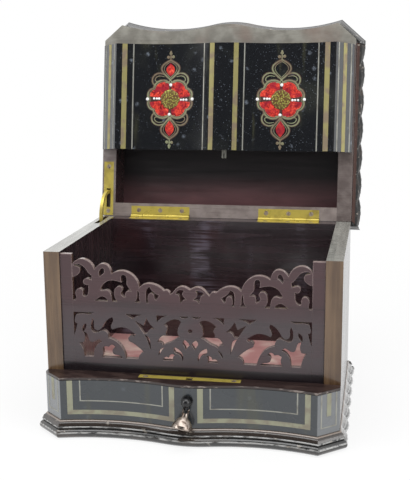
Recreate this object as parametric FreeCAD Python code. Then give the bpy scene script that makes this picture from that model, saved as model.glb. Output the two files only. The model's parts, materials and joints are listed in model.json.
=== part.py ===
"""Ebonised letter box with a bowed front, shown open.

A carcase with a fretted gallery stands on a moulded plinth with a shallow drawer.
The lid turns on two butt hinges at the back and carries a rigid front flap that
folds flat under it. Millimetres, +Z up, +Y to the back, origin at the middle of
the base's underside.
"""
import FreeCAD, Part
import math
import os

os.makedirs("parts", exist_ok=True)

# Carcase
body_width = 260.0
body_depth = 177.0
wall = 14.4
wall_top = 161.4
ledge_top = 53.7
ledge_lip = 2.0
floor_top = 37.0
floor_thick = 4.0
lining_thick = 0.5
base_board_thick = 9.0
plinth_height = 15.0

# Bowed front: how far it stands out before the side walls' front edges
bow = 22.0
edge_thick = 5.9
corner_x = 112.0
hollow_x = 61.0
hollow_dip = 7.0

# Mouldings
plinth_overhang = 7.0
lid_overhang = 9.0
lid_moulding_height = 16.0
torus_radius = 4.0
bead_radius = 0.9
bead_reach = 4.8
cove_top = 1.8

# Lid
lid_depth = 32.0
lid_board = 8.0
lid_gap = 0.6
back_rim = 13.7
front_rim_inset = 14.0
open_angle = 99.8

# Flap
flap_set_back = 1.1
flap_gap = 0.4
flap_side_gap = 0.5
peg_size = 4.3
peg_length = 7.5
peg_behind = 4.9

# Butt hinges of the lid
hinge_length = 62.0
hinge_x = 67.0
leaf_width = 10.8
leaf_thick = 1.4
barrel_radius = 2.2
pin_radius = 1.1
pin_clearance = 0.05
knuckle_gap = 0.3
knuckles = 5
seat_clearance = 0.3

# Butt hinges of the flap
flap_hinge_length = 44.0
flap_hinge_x = 78.0
flap_leaf_width = 11.0
flap_leaf_thick = 1.0
flap_barrel_radius = 1.7
flap_pin_radius = 0.8

# Screws
screw_head_radius = 2.3
screw_head_depth = 1.2
screw_radius = 1.1
screw_length = 7.5
screw_slot = 0.6

# Stay
stay_inset = 6.8
stay_plate_length = 56.0
stay_plate_width = 10.4
stay_plate_thick = 1.2
stay_plate_start = 0.6
stay_reach = 25.0
stay_thick = 3.0
stay_bar = 3.6
stay_slot_side = 0.7
stay_slot_start = 9.0
stay_pivot_depth = 2.6
stay_tail_angle = 8.0
pocket_end_skin = 3.0
pocket_depth = 41.0
pocket_front = 43.0

# Gallery
fret_set_back = 1.2
fret_thick = 5.0
post_width = 10.8
post_drop = 1.7
fret_side_gap = 0.2
rail_behind = 2.0
fret_eye = 1.9

# Strike plate on the ledge
strike_length = 90.0
strike_width = 7.4
strike_thick = 1.0
strike_set_back = 1.0
peg_clearance = 0.8
block_half_length = 50.0
block_depth = 10.2
block_bottom = 44.0

# Drawer
drawer_gap = 0.4
drawer_side_thick = 6.0
drawer_bottom_thick = 2.5
drawer_rear_gap = 13.0
runner_width = 14.0

# Drop pull
pull_x = 1.4
pull_height = 40.0
post_radius = 1.8
post_reach = 4.6
post_tail = 9.0
ball_radius = 4.3
rose_radius = 5.2
rose_thick = 0.8
eye_pin_radius = 0.8
eye_pin_length = 6.4
ear_radius = 1.7
ear_thick = 1.2
drop_length = 16.0
drop_mouth = 9.3
drop_neck = 2.3
drop_wall = 1.3
drop_lean = 11.0
drop_tilt = 17.0

half = body_width / 2
stay_x = stay_inset - half
front = -body_depth / 2
back = body_depth / 2
inner = half - wall
axis_z = wall_top + lid_gap / 2
lid_low = wall_top + lid_gap
lid_ceiling = lid_low + lid_depth
lid_high = lid_ceiling + lid_board
side_reach = math.hypot(corner_x - half, bow - edge_thick)
hollow_radius = ((corner_x - hollow_x) ** 2 + hollow_dip ** 2) / (2 * hollow_dip)
bulge_radius = (hollow_x ** 2 + hollow_dip ** 2) / (2 * hollow_dip) - hollow_radius
fret_front = front + fret_set_back
fret_back = fret_front + fret_thick
post_top = wall_top - post_drop
lid_hinge_point = FreeCAD.Vector(0, back, axis_z)
flap_hinge_point = FreeCAD.Vector(0, front, lid_low)
x_axis = FreeCAD.Vector(1, 0, 0)


def vec(x, y, z):
    return FreeCAD.Vector(x, y, z)


def block(x0, x1, y0, y1, z0, z1):
    return Part.makeBox(x1 - x0, y1 - y0, z1 - z0, vec(x0, y0, z0))


def rod(radius, length, start, direction):
    return Part.makeCylinder(radius, length, start, direction)


def join(shapes):
    whole = shapes[0]
    if len(shapes) > 1:
        whole = shapes[0].multiFuse(shapes[1:])
    return whole.removeSplitter()


def less(shape, cutters):
    for cutter in cutters:
        shape = shape.cut(cutter)
    return shape


def mirrored(shape):
    return shape.mirror(vec(0, 0, 0), vec(1, 0, 0))


def keep(name, shapes, place=None):
    """Write one node: a list of separate solids, moved to its open position by place."""
    solids = []
    for shape in shapes:
        solids.extend(shape.Solids)
    if place:
        solids = [place(solid) for solid in solids]
    result = solids[0] if len(solids) == 1 else Part.makeCompound(solids)
    result.exportStep("parts/" + name + ".step")


def turned(shape, centre, angle):
    copy = shape.copy()
    copy.rotate(centre, x_axis, angle)
    return copy


def lid_open(shape):
    return turned(shape, lid_hinge_point, -open_angle)


def flap_folded(shape):
    return lid_open(turned(shape, flap_hinge_point, 90))


# Plan of the bowed front


def corner_points(offset):
    """The cant's rear end and front corner on the right, moved outwards by offset."""
    run = vec(corner_x - half, edge_thick - bow, 0) * (1 / side_reach)
    normal = vec(-run.y, run.x, 0)
    start = vec(half, front - edge_thick, 0) + normal * offset
    end_step = (half + offset - start.x) / run.x
    end = start + run * end_step
    centre = vec(hollow_x, front - bow + hollow_dip - hollow_radius, 0)
    radius = hollow_radius - offset
    to_start = start - centre
    along = to_start.dot(run)
    step = -along + math.sqrt(along ** 2 - to_start.dot(to_start) + radius ** 2)
    near = -along - math.sqrt(along ** 2 - to_start.dot(to_start) + radius ** 2)
    step = min(step, near, key=lambda value: abs(value - side_reach))
    return end, start + run * step


def outline(offset, z, rear):
    """Closed plan wire: bowed front, canted corners, straight sides and a straight rear."""
    end, corner = corner_points(offset)
    bulge_centre = vec(0, front - bow + bulge_radius, 0)
    hollow_centre = vec(hollow_x, front - bow + hollow_dip - hollow_radius, 0)
    towards = (hollow_centre - bulge_centre).normalize()
    meet = bulge_centre + towards * (bulge_radius + offset)
    hollow_middle = vec(hollow_x, front - bow + hollow_dip - offset, 0)
    bulge_middle = vec(0, front - bow - offset, 0)

    def flip(point):
        return vec(-point.x, point.y, 0)

    edges = [
        Part.LineSegment(vec(half + offset, rear, 0), end).toShape(),
        Part.LineSegment(end, corner).toShape(),
        Part.Arc(corner, hollow_middle, meet).toShape(),
        Part.Arc(meet, bulge_middle, flip(meet)).toShape(),
        Part.Arc(flip(meet), flip(hollow_middle), flip(corner)).toShape(),
        Part.LineSegment(flip(corner), flip(end)).toShape(),
        Part.LineSegment(flip(end), vec(-half - offset, rear, 0)).toShape(),
        Part.LineSegment(vec(-half - offset, rear, 0), vec(half + offset, rear, 0)).toShape(),
    ]
    wire = Part.Wire(edges)
    wire.translate(vec(0, 0, z))
    return wire


def slab(offset, z0, z1, rear):
    return Part.Face(outline(offset, z0, rear)).extrude(vec(0, 0, z1 - z0))


def moulding(profile, overhang):
    """Four mitred lengths of a moulding whose profile is a list of (offset, z) from below."""
    wires = [outline(offset, z, back + offset) for offset, z in profile]
    ring = Part.makeLoft(wires, True, True)
    z0 = profile[0][1]
    z1 = profile[-1][1]
    ring = ring.cut(slab(0, z0, z1, back))
    far = half + overhang + 5
    behind = back + overhang + 5
    spread = far - half
    cut_y = front - edge_thick
    front_zone = block(-far, far, front - bow - overhang - 5, cut_y, z0, z1)
    corners = [vec(-half, back, z0), vec(half, back, z0), vec(half + spread, back + spread, z0)]
    corners.append(vec(-half - spread, back + spread, z0))
    back_zone = Part.Face(Part.makePolygon(corners + corners[:1])).extrude(vec(0, 0, z1 - z0))
    pieces = {"front": ring.common(front_zone), "back": ring.common(back_zone)}
    sides = ring.cut(front_zone).cut(back_zone)
    pieces["left"] = sides.common(block(-far, 0, front - bow, behind, z0, z1))
    pieces["right"] = sides.common(block(0, far, front - bow, behind, z0, z1))
    return pieces


def nose(reach, z, radius, first, last, steps):
    """Points round a bulge that reaches furthest out at height z, between two angles."""
    points = []
    for step in range(steps + 1):
        turn = math.radians(first + (last - first) * step / steps)
        points.append((reach - radius + radius * math.cos(turn), z + radius * math.sin(turn)))
    return points


def round_profile(offset0, z0, offset1, z1, steps, hollow):
    """Points of a quarter round between two points, bulging or hollow."""
    points = []
    for step in range(1, steps + 1):
        turn = math.radians(90.0 * step / steps)
        across = 1 - math.cos(turn) if hollow else math.sin(turn)
        rise = math.sin(turn) if hollow else 1 - math.cos(turn)
        points.append((offset0 + (offset1 - offset0) * across, z0 + (z1 - z0) * rise))
    return points


# Screws


def screw(point, direction, length=screw_length):
    """Countersunk slotted screw whose head lies flush at point and which points along direction."""
    head = Part.makeCone(screw_head_radius, screw_radius, screw_head_depth, point, direction)
    return head.fuse(rod(screw_radius, length, point, direction)).removeSplitter()


def slotted(shape, point, direction, turn):
    """Cut the driver slot; turn is the slot's angle on the head."""
    width = 2 * screw_head_radius + 1
    slot = block(-width / 2, width / 2, -screw_slot / 2, screw_slot / 2, -screw_slot, screw_slot)
    slot.rotate(vec(0, 0, 0), vec(0, 0, 1), turn)
    placement = FreeCAD.Placement(point, FreeCAD.Rotation(vec(0, 0, 1), direction))
    slot.Placement = placement.multiply(slot.Placement)
    return shape.cut(slot)


# Butt hinges, built closed about an axis along X


def hinge_leaf(centre, length, width, thick, radius, bore, side, upper, face, count, own):
    """One leaf with its knuckles. side is its way along Y, face its distance from the axis."""
    x0 = centre.x - length / 2
    y0 = centre.y if side > 0 else centre.y - width
    z0 = centre.z + face if upper else centre.z - face - thick
    leaf = Part.makeBox(length, width, thick, vec(x0, y0, z0))
    pitch = length / count
    barrels = []
    gaps = []
    for index in range(count):
        start = x0 + index * pitch
        if index % 2 == own:
            first = start + (knuckle_gap / 2 if index > 0 else 0)
            last = start + pitch - (knuckle_gap / 2 if index < count - 1 else 0)
            barrels.append(rod(radius, last - first, vec(first, centre.y, centre.z), x_axis))
        else:
            gap = rod(radius + knuckle_gap, pitch + knuckle_gap,
                      vec(start - knuckle_gap / 2, centre.y, centre.z), x_axis)
            gaps.append(gap)
    leaf = less(leaf, gaps)
    leaf = join([leaf] + barrels)
    return leaf.cut(rod(bore, length + 2, vec(x0 - 1, centre.y, centre.z), x_axis))


def hinge_seat(centre, length, radius):
    span = length + 2 * seat_clearance
    start = vec(centre.x - span / 2, centre.y, centre.z)
    return rod(radius + seat_clearance, span, start, x_axis)


def screw_row(centre_x, spacing, y, z, direction, turns):
    solids = []
    for index, turn in enumerate(turns):
        point = vec(centre_x + (index - 1) * spacing, y, z)
        solids.append((screw(point, direction), point, turn))
    return solids


# Mouldings and plinth

torus_nose_z = torus_radius + 0.2
bead_nose_z = 2 * torus_radius + bead_radius + 0.9
cove_low = bead_nose_z + bead_radius + 0.3
plinth_profile = nose(plinth_overhang, torus_nose_z, torus_radius, -80, 80, 12)
plinth_profile.insert(0, (plinth_profile[0][0], 0.0))
plinth_profile += nose(bead_reach, bead_nose_z, bead_radius, -60, 60, 4)
plinth_profile += round_profile(bead_reach - bead_radius, cove_low, cove_top, plinth_height - 1.2, 5, True)
plinth_profile.append((cove_top - 0.2, plinth_height - 0.5))
plinth_profile.append((cove_top - 0.8, plinth_height))
for side, piece in moulding(plinth_profile, plinth_overhang).items():
    keep("plinth_moulding_" + side, [piece])

base_board = slab(0, 0, base_board_thick, back)
keep("base_board", [base_board])
plinth_core = slab(0, base_board_thick, plinth_height, back)
plinth_core = plinth_core.cut(block(-inner, inner, front, back - wall, 0, plinth_height))
keep("plinth_core", [plinth_core])

# Drawer runners on the base board
runner_low = base_board_thick
runner_x = inner - runner_width
runner_y0 = front + 1
runner_y1 = back - wall
left_runner = block(-inner, -runner_x, runner_y0, runner_y1, runner_low, plinth_height)
keep("drawer_runners", [left_runner, mirrored(left_runner)])

# Walls
stay_pocket = block(stay_x - stay_thick / 2 - stay_slot_side, stay_x + stay_thick / 2 + stay_slot_side,
                    back - pocket_front, back - pocket_end_skin,
                    wall_top - pocket_depth, wall_top + 1)
side_left = block(-half, -inner, front, back, plinth_height, wall_top)
side_right = mirrored(side_left)
side_left = side_left.cut(stay_pocket)
keep("side_wall_left", [side_left])
keep("side_wall_right", [side_right])

hinge_centres = [vec(-hinge_x, back, axis_z), vec(hinge_x, back, axis_z)]
seats = [hinge_seat(centre, hinge_length, barrel_radius) for centre in hinge_centres]
screw_spacing = hinge_length * 0.37
case_leaves = []
lid_leaves = []
case_screws = []
lid_screws = []
hinge_pins = []
case_recesses = []
lid_recesses = []
leaf_low = wall_top - leaf_thick
leaf_high = lid_low + leaf_thick
for centre in hinge_centres:
    x0 = centre.x - hinge_length / 2
    x1 = centre.x + hinge_length / 2
    y0 = back - leaf_width
    case_plate = block(x0, x1, y0, back, leaf_low, wall_top)
    lid_plate = block(x0, x1, y0, back, lid_low, leaf_high)
    case_recesses.append(case_plate)
    lid_recesses.append(lid_plate)
    low_leaf = hinge_leaf(vec(centre.x, back, axis_z), hinge_length, leaf_width, leaf_thick,
                          barrel_radius, pin_radius + pin_clearance, -1, False, lid_gap / 2, knuckles, 0)
    high_leaf = hinge_leaf(vec(centre.x, back, axis_z), hinge_length, leaf_width, leaf_thick,
                           barrel_radius, pin_radius + pin_clearance, -1, True, lid_gap / 2, knuckles, 1)
    head_y = back - (leaf_width + barrel_radius) / 2
    lows = screw_row(centre.x, screw_spacing, head_y, wall_top, vec(0, 0, -1), (20, 70, 130))
    highs = screw_row(centre.x, screw_spacing, head_y, lid_low, vec(0, 0, 1), (35, 118, 64))
    case_leaves.append(less(low_leaf, [item[0] for item in lows]))
    lid_leaves.append(less(high_leaf, [item[0] for item in highs]))
    for solid, point, turn in lows:
        case_screws.append(slotted(solid, point, vec(0, 0, -1), turn))
        case_recesses.append(solid)
    for solid, point, turn in highs:
        lid_screws.append(slotted(solid, point, vec(0, 0, 1), turn))
        lid_recesses.append(solid)
    hinge_pins.append(rod(pin_radius, hinge_length, vec(x0, back, axis_z), x_axis))

back_wall = block(-inner, inner, back - wall, back, plinth_height, wall_top)
keep("back_wall", [less(back_wall, seats + case_recesses)])
keep("case_hinge_leaves", case_leaves)
keep("case_hinge_screws", case_screws)
keep("hinge_pins", hinge_pins)

# Ledge with the block that takes the flap's peg
ledge_front = slab(0, ledge_top - ledge_lip, ledge_top, front)
floor_board_top = floor_top - lining_thick
floor_low = floor_board_top - floor_thick
floor_y0 = fret_back + rail_behind
ledge_rail = block(-inner, inner, front, floor_y0, floor_board_top, ledge_top)
peg_block = block(-block_half_length, block_half_length, front - block_depth, front,
                  block_bottom, ledge_top - ledge_lip)
peg_y = front - peg_behind
hole_half = peg_size / 2 + peg_clearance
peg_hole = block(-hole_half, hole_half, peg_y - hole_half, peg_y + hole_half,
                 block_bottom + 1, ledge_top + 1)
strike_y1 = front - strike_set_back
strike_y0 = strike_y1 - strike_width
strike_low = ledge_top - strike_thick
strike = block(-strike_length / 2, strike_length / 2, strike_y0, strike_y1, strike_low, ledge_top)
strike_screws = []
for sign in (-1, 1):
    point = vec(sign * (strike_length / 2 - 6), (strike_y0 + strike_y1) / 2, ledge_top)
    strike_screws.append((screw(point, vec(0, 0, -1), 6.0), point, 40 * sign))
strike_solids = [item[0] for item in strike_screws]
ledge = join([ledge_front, ledge_rail, peg_block])
keep("ledge", [less(ledge, [peg_hole, strike] + strike_solids)])
keep("strike_plate", [less(strike, [peg_hole] + strike_solids)])
keep("strike_plate_screws", [slotted(solid, point, vec(0, 0, -1), turn)
                             for solid, point, turn in strike_screws])

# Compartment floor
floor_board = block(-inner, inner, front, back - wall, floor_low, floor_board_top)
keep("floor_board", [floor_board])
lining = block(-inner, inner, floor_y0, back - wall, floor_board_top, floor_top)
keep("floor_lining", [lining])


# Fretted gallery: a panel with sawn openings. Its drawing is in percent: x of the half width
# between the posts, z of the height from the ledge to the top of the walls.

fret_edge = inner - post_width
fret_height = wall_top - ledge_top


def drawn(x, z, y):
    return vec(fret_edge * x / 100, y, ledge_top + fret_height * z / 100)


def sawn(y0, y1, *runs):
    """A flat shape whose outline goes smoothly through each run and turns sharply between runs."""
    edges = []
    for index, run in enumerate(runs):
        following = runs[(index + 1) % len(runs)]
        points = [drawn(x, z, y0) for x, z in run + following[:1]]
        if len(points) == 2:
            edges.append(Part.LineSegment(points[0], points[1]).toShape())
        else:
            curve = Part.BSplineCurve()
            curve.interpolate(points)
            edges.append(curve.toShape())
    return Part.Face(Part.Wire(edges)).extrude(vec(0, y1 - y0, 0))


def opening(*runs):
    return sawn(fret_front - 1, fret_back + 1, *runs)


def cresting(base):
    """Right half of the scrolled top, from the middle rail up."""
    side = 100
    return sawn(
        fret_front, fret_back,
        [(0, 72.3), (2.9, 73.8), (7.1, 74.7), (11.5, 72.7), (14.7, 69.2)],
        [(16.4, 67.7), (17.7, 70.3), (20, 71.2)],
        [(21.9, 70.7), (25.8, 73.8), (31.5, 76), (37.2, 75.9)],
        [(42.6, 72.3), (44.1, 77.5), (48.7, 82.9), (54.4, 85.6), (60.1, 85.6)],
        [(66, 82.9), (67.2, 87.2), (69.8, 90.3), (74.4, 91.1), (78.4, 88.9)],
        [(80.7, 85.9), (82.6, 90), (86.8, 93.5), (92.2, 94.7), (96.9, 92.9)],
        [(side, 89.6)], [(side, base)], [(0, base)])


def cresting_openings(foot):
    """Openings of the right half above the middle rail."""
    side = 101
    return [
        # heart in the middle
        opening([(4.6, 71.2), (7.6, 72.1), (10.9, 70.5)], [(11.8, 68.2), (9.7, 67.7), (8.6, 65.5)],
                [(7.6, 61), (6.1, 63), (3.8, 64)], [(1.9, 64), (4.4, 65.5), (6.1, 68.1)]),
        # low scroll round its curl
        opening([(25.8, 66.6), (28.6, 67.9), (31.5, 70.1)], [(33.6, 73.4), (35.9, 72), (37.1, 67.1)],
                [(37, foot)], [(34.7, foot), (35.5, 63), (35.2, 65.8), (34, 67.9),
                                 (31.7, 68.1), (30, 66.2), (29.8, 64.2)],
                [(28.2, 62.7), (27.1, 64.5)]),
        # slit between the scrolls
        opening([(41.4, foot)], [(47.1, foot), (45, 62.5), (44.3, 66.2)],
                [(44.1, 70.3), (42.7, 66.2), (42.6, 62.5)]),
        # large scroll round its two curls
        opening([(51.9, 72.7), (53.2, 76.2), (53.1, 79.4), (54.6, 82.4), (56.9, 82.4), (58, 79.6)],
                [(57.3, 76.2), (61.1, 77.2), (65.4, 77.8), (70.6, 76.4), (74.2, 73.1)],
                [(76.1, 69.2), (73.9, 68.8), (70.8, 69.4), (67.7, 67.5), (66.4, 63.8)],
                [(66, foot)], [(61.1, foot), (63.4, 63), (63.9, 67.7), (62.4, 71.8),
                                 (59.4, 72.9), (57.1, 71.4)],
                [(57.1, 69.2), (58.2, 67.5), (57.3, 65.1)],
                [(54.2, 64), (54.6, 66.8), (52.7, 69.3), (50.4, 69.4)],
                [(48.5, 68.2), (50.2, 70.5)]),
        # under the hump
        opening([(69.8, foot), (71.6, 63), (74.8, 64), (78.2, 62.3)], [(81.3, foot)]),
        # small scroll
        opening([(72.1, 86.1), (74, 87.6), (76.1, 85.7), (76.8, 82.7)], [(76, 80.3), (74.2, 82.2)],
                [(72.1, 83.8)]),
        # tall scroll beside the post
        opening([(83, 81.1), (86.5, 84.2), (88.9, 87.4), (92.6, 90), (96.6, 90.2)],
                [(98.7, 89.3), (96.6, 88.5), (93.9, 87.4), (93.1, 84.6), (95.2, 81.4)],
                [(side, 79)], [(side, foot)],
                [(97.3, foot), (97.2, 63.4), (97.5, 67.1), (95.2, 69.7), (92.4, 69.4), (91, 67.1)],
                [(91.4, 65.1), (89.9, 63.2), (87.6, 64.5), (86.3, 68.1)],
                [(86.1, 73.6), (89.3, 73.6), (90.6, 76), (88.7, 78.3), (86.1, 78.3)],
                [(83.4, 77.3)]),
    ]


def window_openings():
    """Openings of the right half between the low and the middle rail."""
    foot = 12.3
    head = 50
    side = 101
    return [
        # beside the flower
        opening([(7.6, 45.4), (10.9, 47.2), (14.5, 47.1), (18.7, 45.2)], [(22.1, 42.4), (20, 40.4)],
                [(19.3, 38.3), (20.6, 35.9)], [(20.2, 33.3), (23.7, 33), (26.3, 30.5)],
                [(27.9, 27.6), (25.2, 27.4)], [(23.1, 24.8), (20, 26.6), (16.2, 28.1), (12.8, 30.5)],
                [(8.4, 32.6), (10.3, 34.6), (10.7, 37.8), (9.5, 41.7)]),
        opening([(0.8, 26.3), (2.5, 28.9)], [(4.8, 30.4), (6.5, 27.9)], [(5.3, 25), (4.4, 23.3)],
                [(4, 22), (2.3, 24)]),
        # leaves below the flower
        opening([(6.7, foot), (6.5, 17.4), (9, 21.4)], [(13.7, 23.9), (14.1, 21.1)],
                [(12.8, 18.7), (9.4, 17.5)]),
        opening([(13.4, 17.5), (14.7, 15.5)], [(14.7, foot)], [(23.3, foot), (21, 15.3)],
                [(18.5, 14.9), (17, 17.4)]),
        opening([(22.5, 23.3), (24.8, 20.1)], [(27.1, 16.2), (26.1, 20.5)]),
        # slits under the middle rail
        opening([(1, head)], [(9.4, head), (5, 48.4)]),
        opening([(19.1, head)], [(28.4, head)], [(28.1, 44.3), (25.4, 47.1)]),
        opening([(38.9, head)], [(55.3, head), (52.1, 47.8)], [(49, 46), (45.2, 48.4)]),
        # leaf joint beside the main stem
        opening([(37, 47.3), (34.4, 43)], [(29, 38), (33.4, 38.3)], [(36.6, 34.3)], [(39.5, 33.9)],
                [(46.9, 44.8)], [(39.5, 40.9)]),
        opening([(33.4, 19.8), (34, 26.3), (36.1, 31.8)], [(39.1, 33), (36.6, 28.3), (34.9, 23.9)]),
        # large arch of the main stem
        opening([(46.6, 33.1), (50.6, 36.1), (56.3, 38.5), (62, 38)],
                [(66.6, 36.3), (67.6, 39.6), (66, 43)],
                [(66.4, 46.7), (70.4, 44.5), (73.9, 40.4), (76, 37)],
                [(79.2, 35), (82.1, 36.9), (82.4, 40.9)], [(83.4, 45), (84.9, 40.2)],
                [(84.4, 34.6), (81.5, 32.8), (78.2, 33.9), (74.4, 35.2), (71.2, 33.3)],
                [(70.4, 28.9), (65.3, 27.2), (60.7, 23.9), (57.4, 19.2)], [(55.2, foot)],
                [(44.5, foot), (43.5, 15.7)], [(39.7, 18.5), (43.9, 22.2), (48.1, 25.2)],
                [(51.5, 26.8), (52.9, 29.4), (51.1, 31.8)], [(48.3, 30.9)]),
        # inside the hump
        opening([(58.2, foot), (61.1, 14.4), (65.3, 15.3)], [(67, 17.9), (66.2, 20.1)],
                [(64.1, 21.3), (67.2, 23.4)],
                [(70, 21.4), (73.5, 21.6)], [(75.8, 20.1), (75, 15.9)], [(76.5, foot)]),
        # beyond the hump
        opening([(75.6, 25.2), (80, 22.9), (82.6, 18.5)], [(83.4, foot)],
                [(91.6, foot), (92, 16.1), (93.5, 20.1)],
                [(96, 24)], [(92, 24.2), (90.6, 28.5)], [(91.8, 33.3), (88.7, 31.8), (87.6, 28.5)],
                [(86.6, 25.7), (83.6, 25), (80.7, 26.5)], [(77.7, 27.6)]),
        opening([(89.1, 40.6), (91, 39.6)], [(92.4, 33.3), (89.9, 36.1)]),
        # outer corner
        opening([(82.1, head)], [(side, head)], [(side, 28.1), (98.7, 33.7)],
                [(96.9, 40.4), (98.5, 40.9), (99, 44.1)], [(97.7, 47.8), (92.2, 48.7)],
                [(86.3, 48.2)]),
    ]


def gallery_panel():
    rail = 58.8
    rail_top = drawn(0, rail, 0).z
    board = block(-fret_edge, fret_edge, fret_front, fret_back, ledge_top, rail_top)
    right = cresting(rail)
    panel = join([board, right, mirrored(right)])
    panel = panel.common(block(-fret_edge, fret_edge, fret_front, fret_back, ledge_top, wall_top))
    voids = cresting_openings(rail + 1.2) + window_openings()
    voids += [mirrored(void) for void in voids]
    voids.append(rod(fret_eye, fret_thick + 2, drawn(0, 37.8, fret_front - 1), vec(0, 1, 0)))
    return less(panel, voids)


keep("fret_panel", [gallery_panel()])
post_right = block(inner - post_width, inner - fret_side_gap, fret_front, fret_back, ledge_top, post_top)
keep("fret_post_right", [post_right])
keep("fret_post_left", [mirrored(post_right)])

# Lid, built closed
lid_front_y = front + front_rim_inset
rim_side = block(-half, -inner, front, back, lid_low, lid_ceiling)
rim_right = mirrored(rim_side)
front_zone = block(-half - 1, half + 1, front - bow - 1, front, lid_low, lid_ceiling)
rim_front = slab(0, lid_low, lid_ceiling, back).common(front_zone)
rim_front = join([rim_front, block(-inner, inner, front, lid_front_y, lid_low, lid_ceiling)])
rim_back = block(-inner, inner, back - back_rim, back, lid_low, lid_ceiling)

lid_profile = [(0.6, lid_high - lid_moulding_height)]
lid_profile.append((0.9, lid_high - lid_moulding_height + 0.8))
lid_profile += round_profile(0.9, lid_high - lid_moulding_height + 0.8,
                             lid_overhang - 2.0, lid_high - 8.6, 4, False)
lid_profile.append((lid_overhang - 1.6, lid_high - 7.8))
lid_profile.append((lid_overhang - 0.5, lid_high - 6.4))
lid_profile.append((lid_overhang, lid_high - 4.4))
lid_profile.append((lid_overhang - 0.5, lid_high - 2.4))
lid_profile.append((lid_overhang - 2.0, lid_high - 1.0))
lid_profile.append((lid_overhang - 4.5, lid_high))
for side, piece in moulding(lid_profile, lid_overhang).items():
    keep("lid_moulding_" + side, [piece], lid_open)
keep("lid_board", [slab(0, lid_ceiling, lid_high, back)], lid_open)

# Stay plate, pivot and pockets in the left side of the lid
plate_y1 = back - stay_plate_start
plate_y0 = plate_y1 - stay_plate_length
stay_plate = block(stay_x - stay_plate_width / 2, stay_x + stay_plate_width / 2,
                   plate_y0, plate_y1, lid_low, lid_low + stay_plate_thick)
slot_half = stay_thick / 2 + stay_slot_side
slot_y0 = back - stay_reach - stay_bar
slot_y1 = back - stay_slot_start
stay_slot = block(stay_x - slot_half, stay_x + slot_half, slot_y0, slot_y1,
                  lid_low - 1, lid_low + stay_pivot_depth + stay_bar)
pivot = vec(0, back - stay_reach, lid_low + stay_pivot_depth)
pivot_pin_length = stay_plate_width - 2
pivot_start = vec(stay_x - pivot_pin_length / 2, pivot.y, pivot.z)
pivot_pin = rod(1.0, pivot_pin_length, pivot_start, x_axis)
stay_screws = []
for y, turn in ((plate_y0 + 5.0, 60), (plate_y1 - 4.4, 15)):
    point = vec(stay_x, y, lid_low)
    stay_screws.append((screw(point, vec(0, 0, 1)), point, turn))
stay_solids = [item[0] for item in stay_screws]
rim_side = less(rim_side, [stay_plate, stay_slot, pivot_pin] + stay_solids)
keep("lid_rim_left", [rim_side], lid_open)
keep("lid_rim_right", [rim_right], lid_open)
keep("lid_rim_back", [less(rim_back, seats + lid_recesses)], lid_open)
keep("stay_plate", [less(stay_plate, [stay_slot] + stay_solids)], lid_open)
keep("stay_plate_screws", [slotted(solid, point, vec(0, 0, 1), turn)
                           for solid, point, turn in stay_screws], lid_open)
keep("stay_pivot_pin", [pivot_pin], lid_open)
keep("lid_hinge_leaves", lid_leaves, lid_open)
keep("lid_hinge_screws", lid_screws, lid_open)


def stay_arm():
    """Curved arm in its open place, an arc about the lid's hinge from the pivot to the wall."""
    pivot_open = lid_open(Part.Vertex(pivot)).Point
    centre = vec(stay_x - stay_thick / 2, lid_hinge_point.y, lid_hinge_point.z)
    offset = vec(0, pivot_open.y - centre.y, pivot_open.z - centre.z)
    radius = offset.Length
    start = math.degrees(math.atan2(offset.z, -offset.y))
    middle = (start - stay_tail_angle) / 2

    def at(turn, reach):
        angle = math.radians(turn)
        return centre + vec(0, -reach * math.cos(angle), reach * math.sin(angle))

    r0 = radius - stay_bar / 2
    r1 = radius + stay_bar / 2
    edges = [Part.Arc(at(start, r1), at(middle, r1), at(-stay_tail_angle, r1)).toShape(),
             Part.LineSegment(at(-stay_tail_angle, r1), at(-stay_tail_angle, r0)).toShape(),
             Part.Arc(at(-stay_tail_angle, r0), at(middle, r0), at(start, r0)).toShape(),
             Part.LineSegment(at(start, r0), at(start, r1)).toShape()]
    bar = Part.Face(Part.Wire(edges)).extrude(vec(stay_thick, 0, 0))
    eye_point = vec(centre.x, pivot_open.y, pivot_open.z)
    arm = bar.fuse(rod(stay_bar / 2, stay_thick, eye_point, x_axis))
    return arm.cut(rod(1.0 + pin_clearance, stay_thick, eye_point, x_axis)).removeSplitter()


keep("stay_arm", [stay_arm()])

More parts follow.
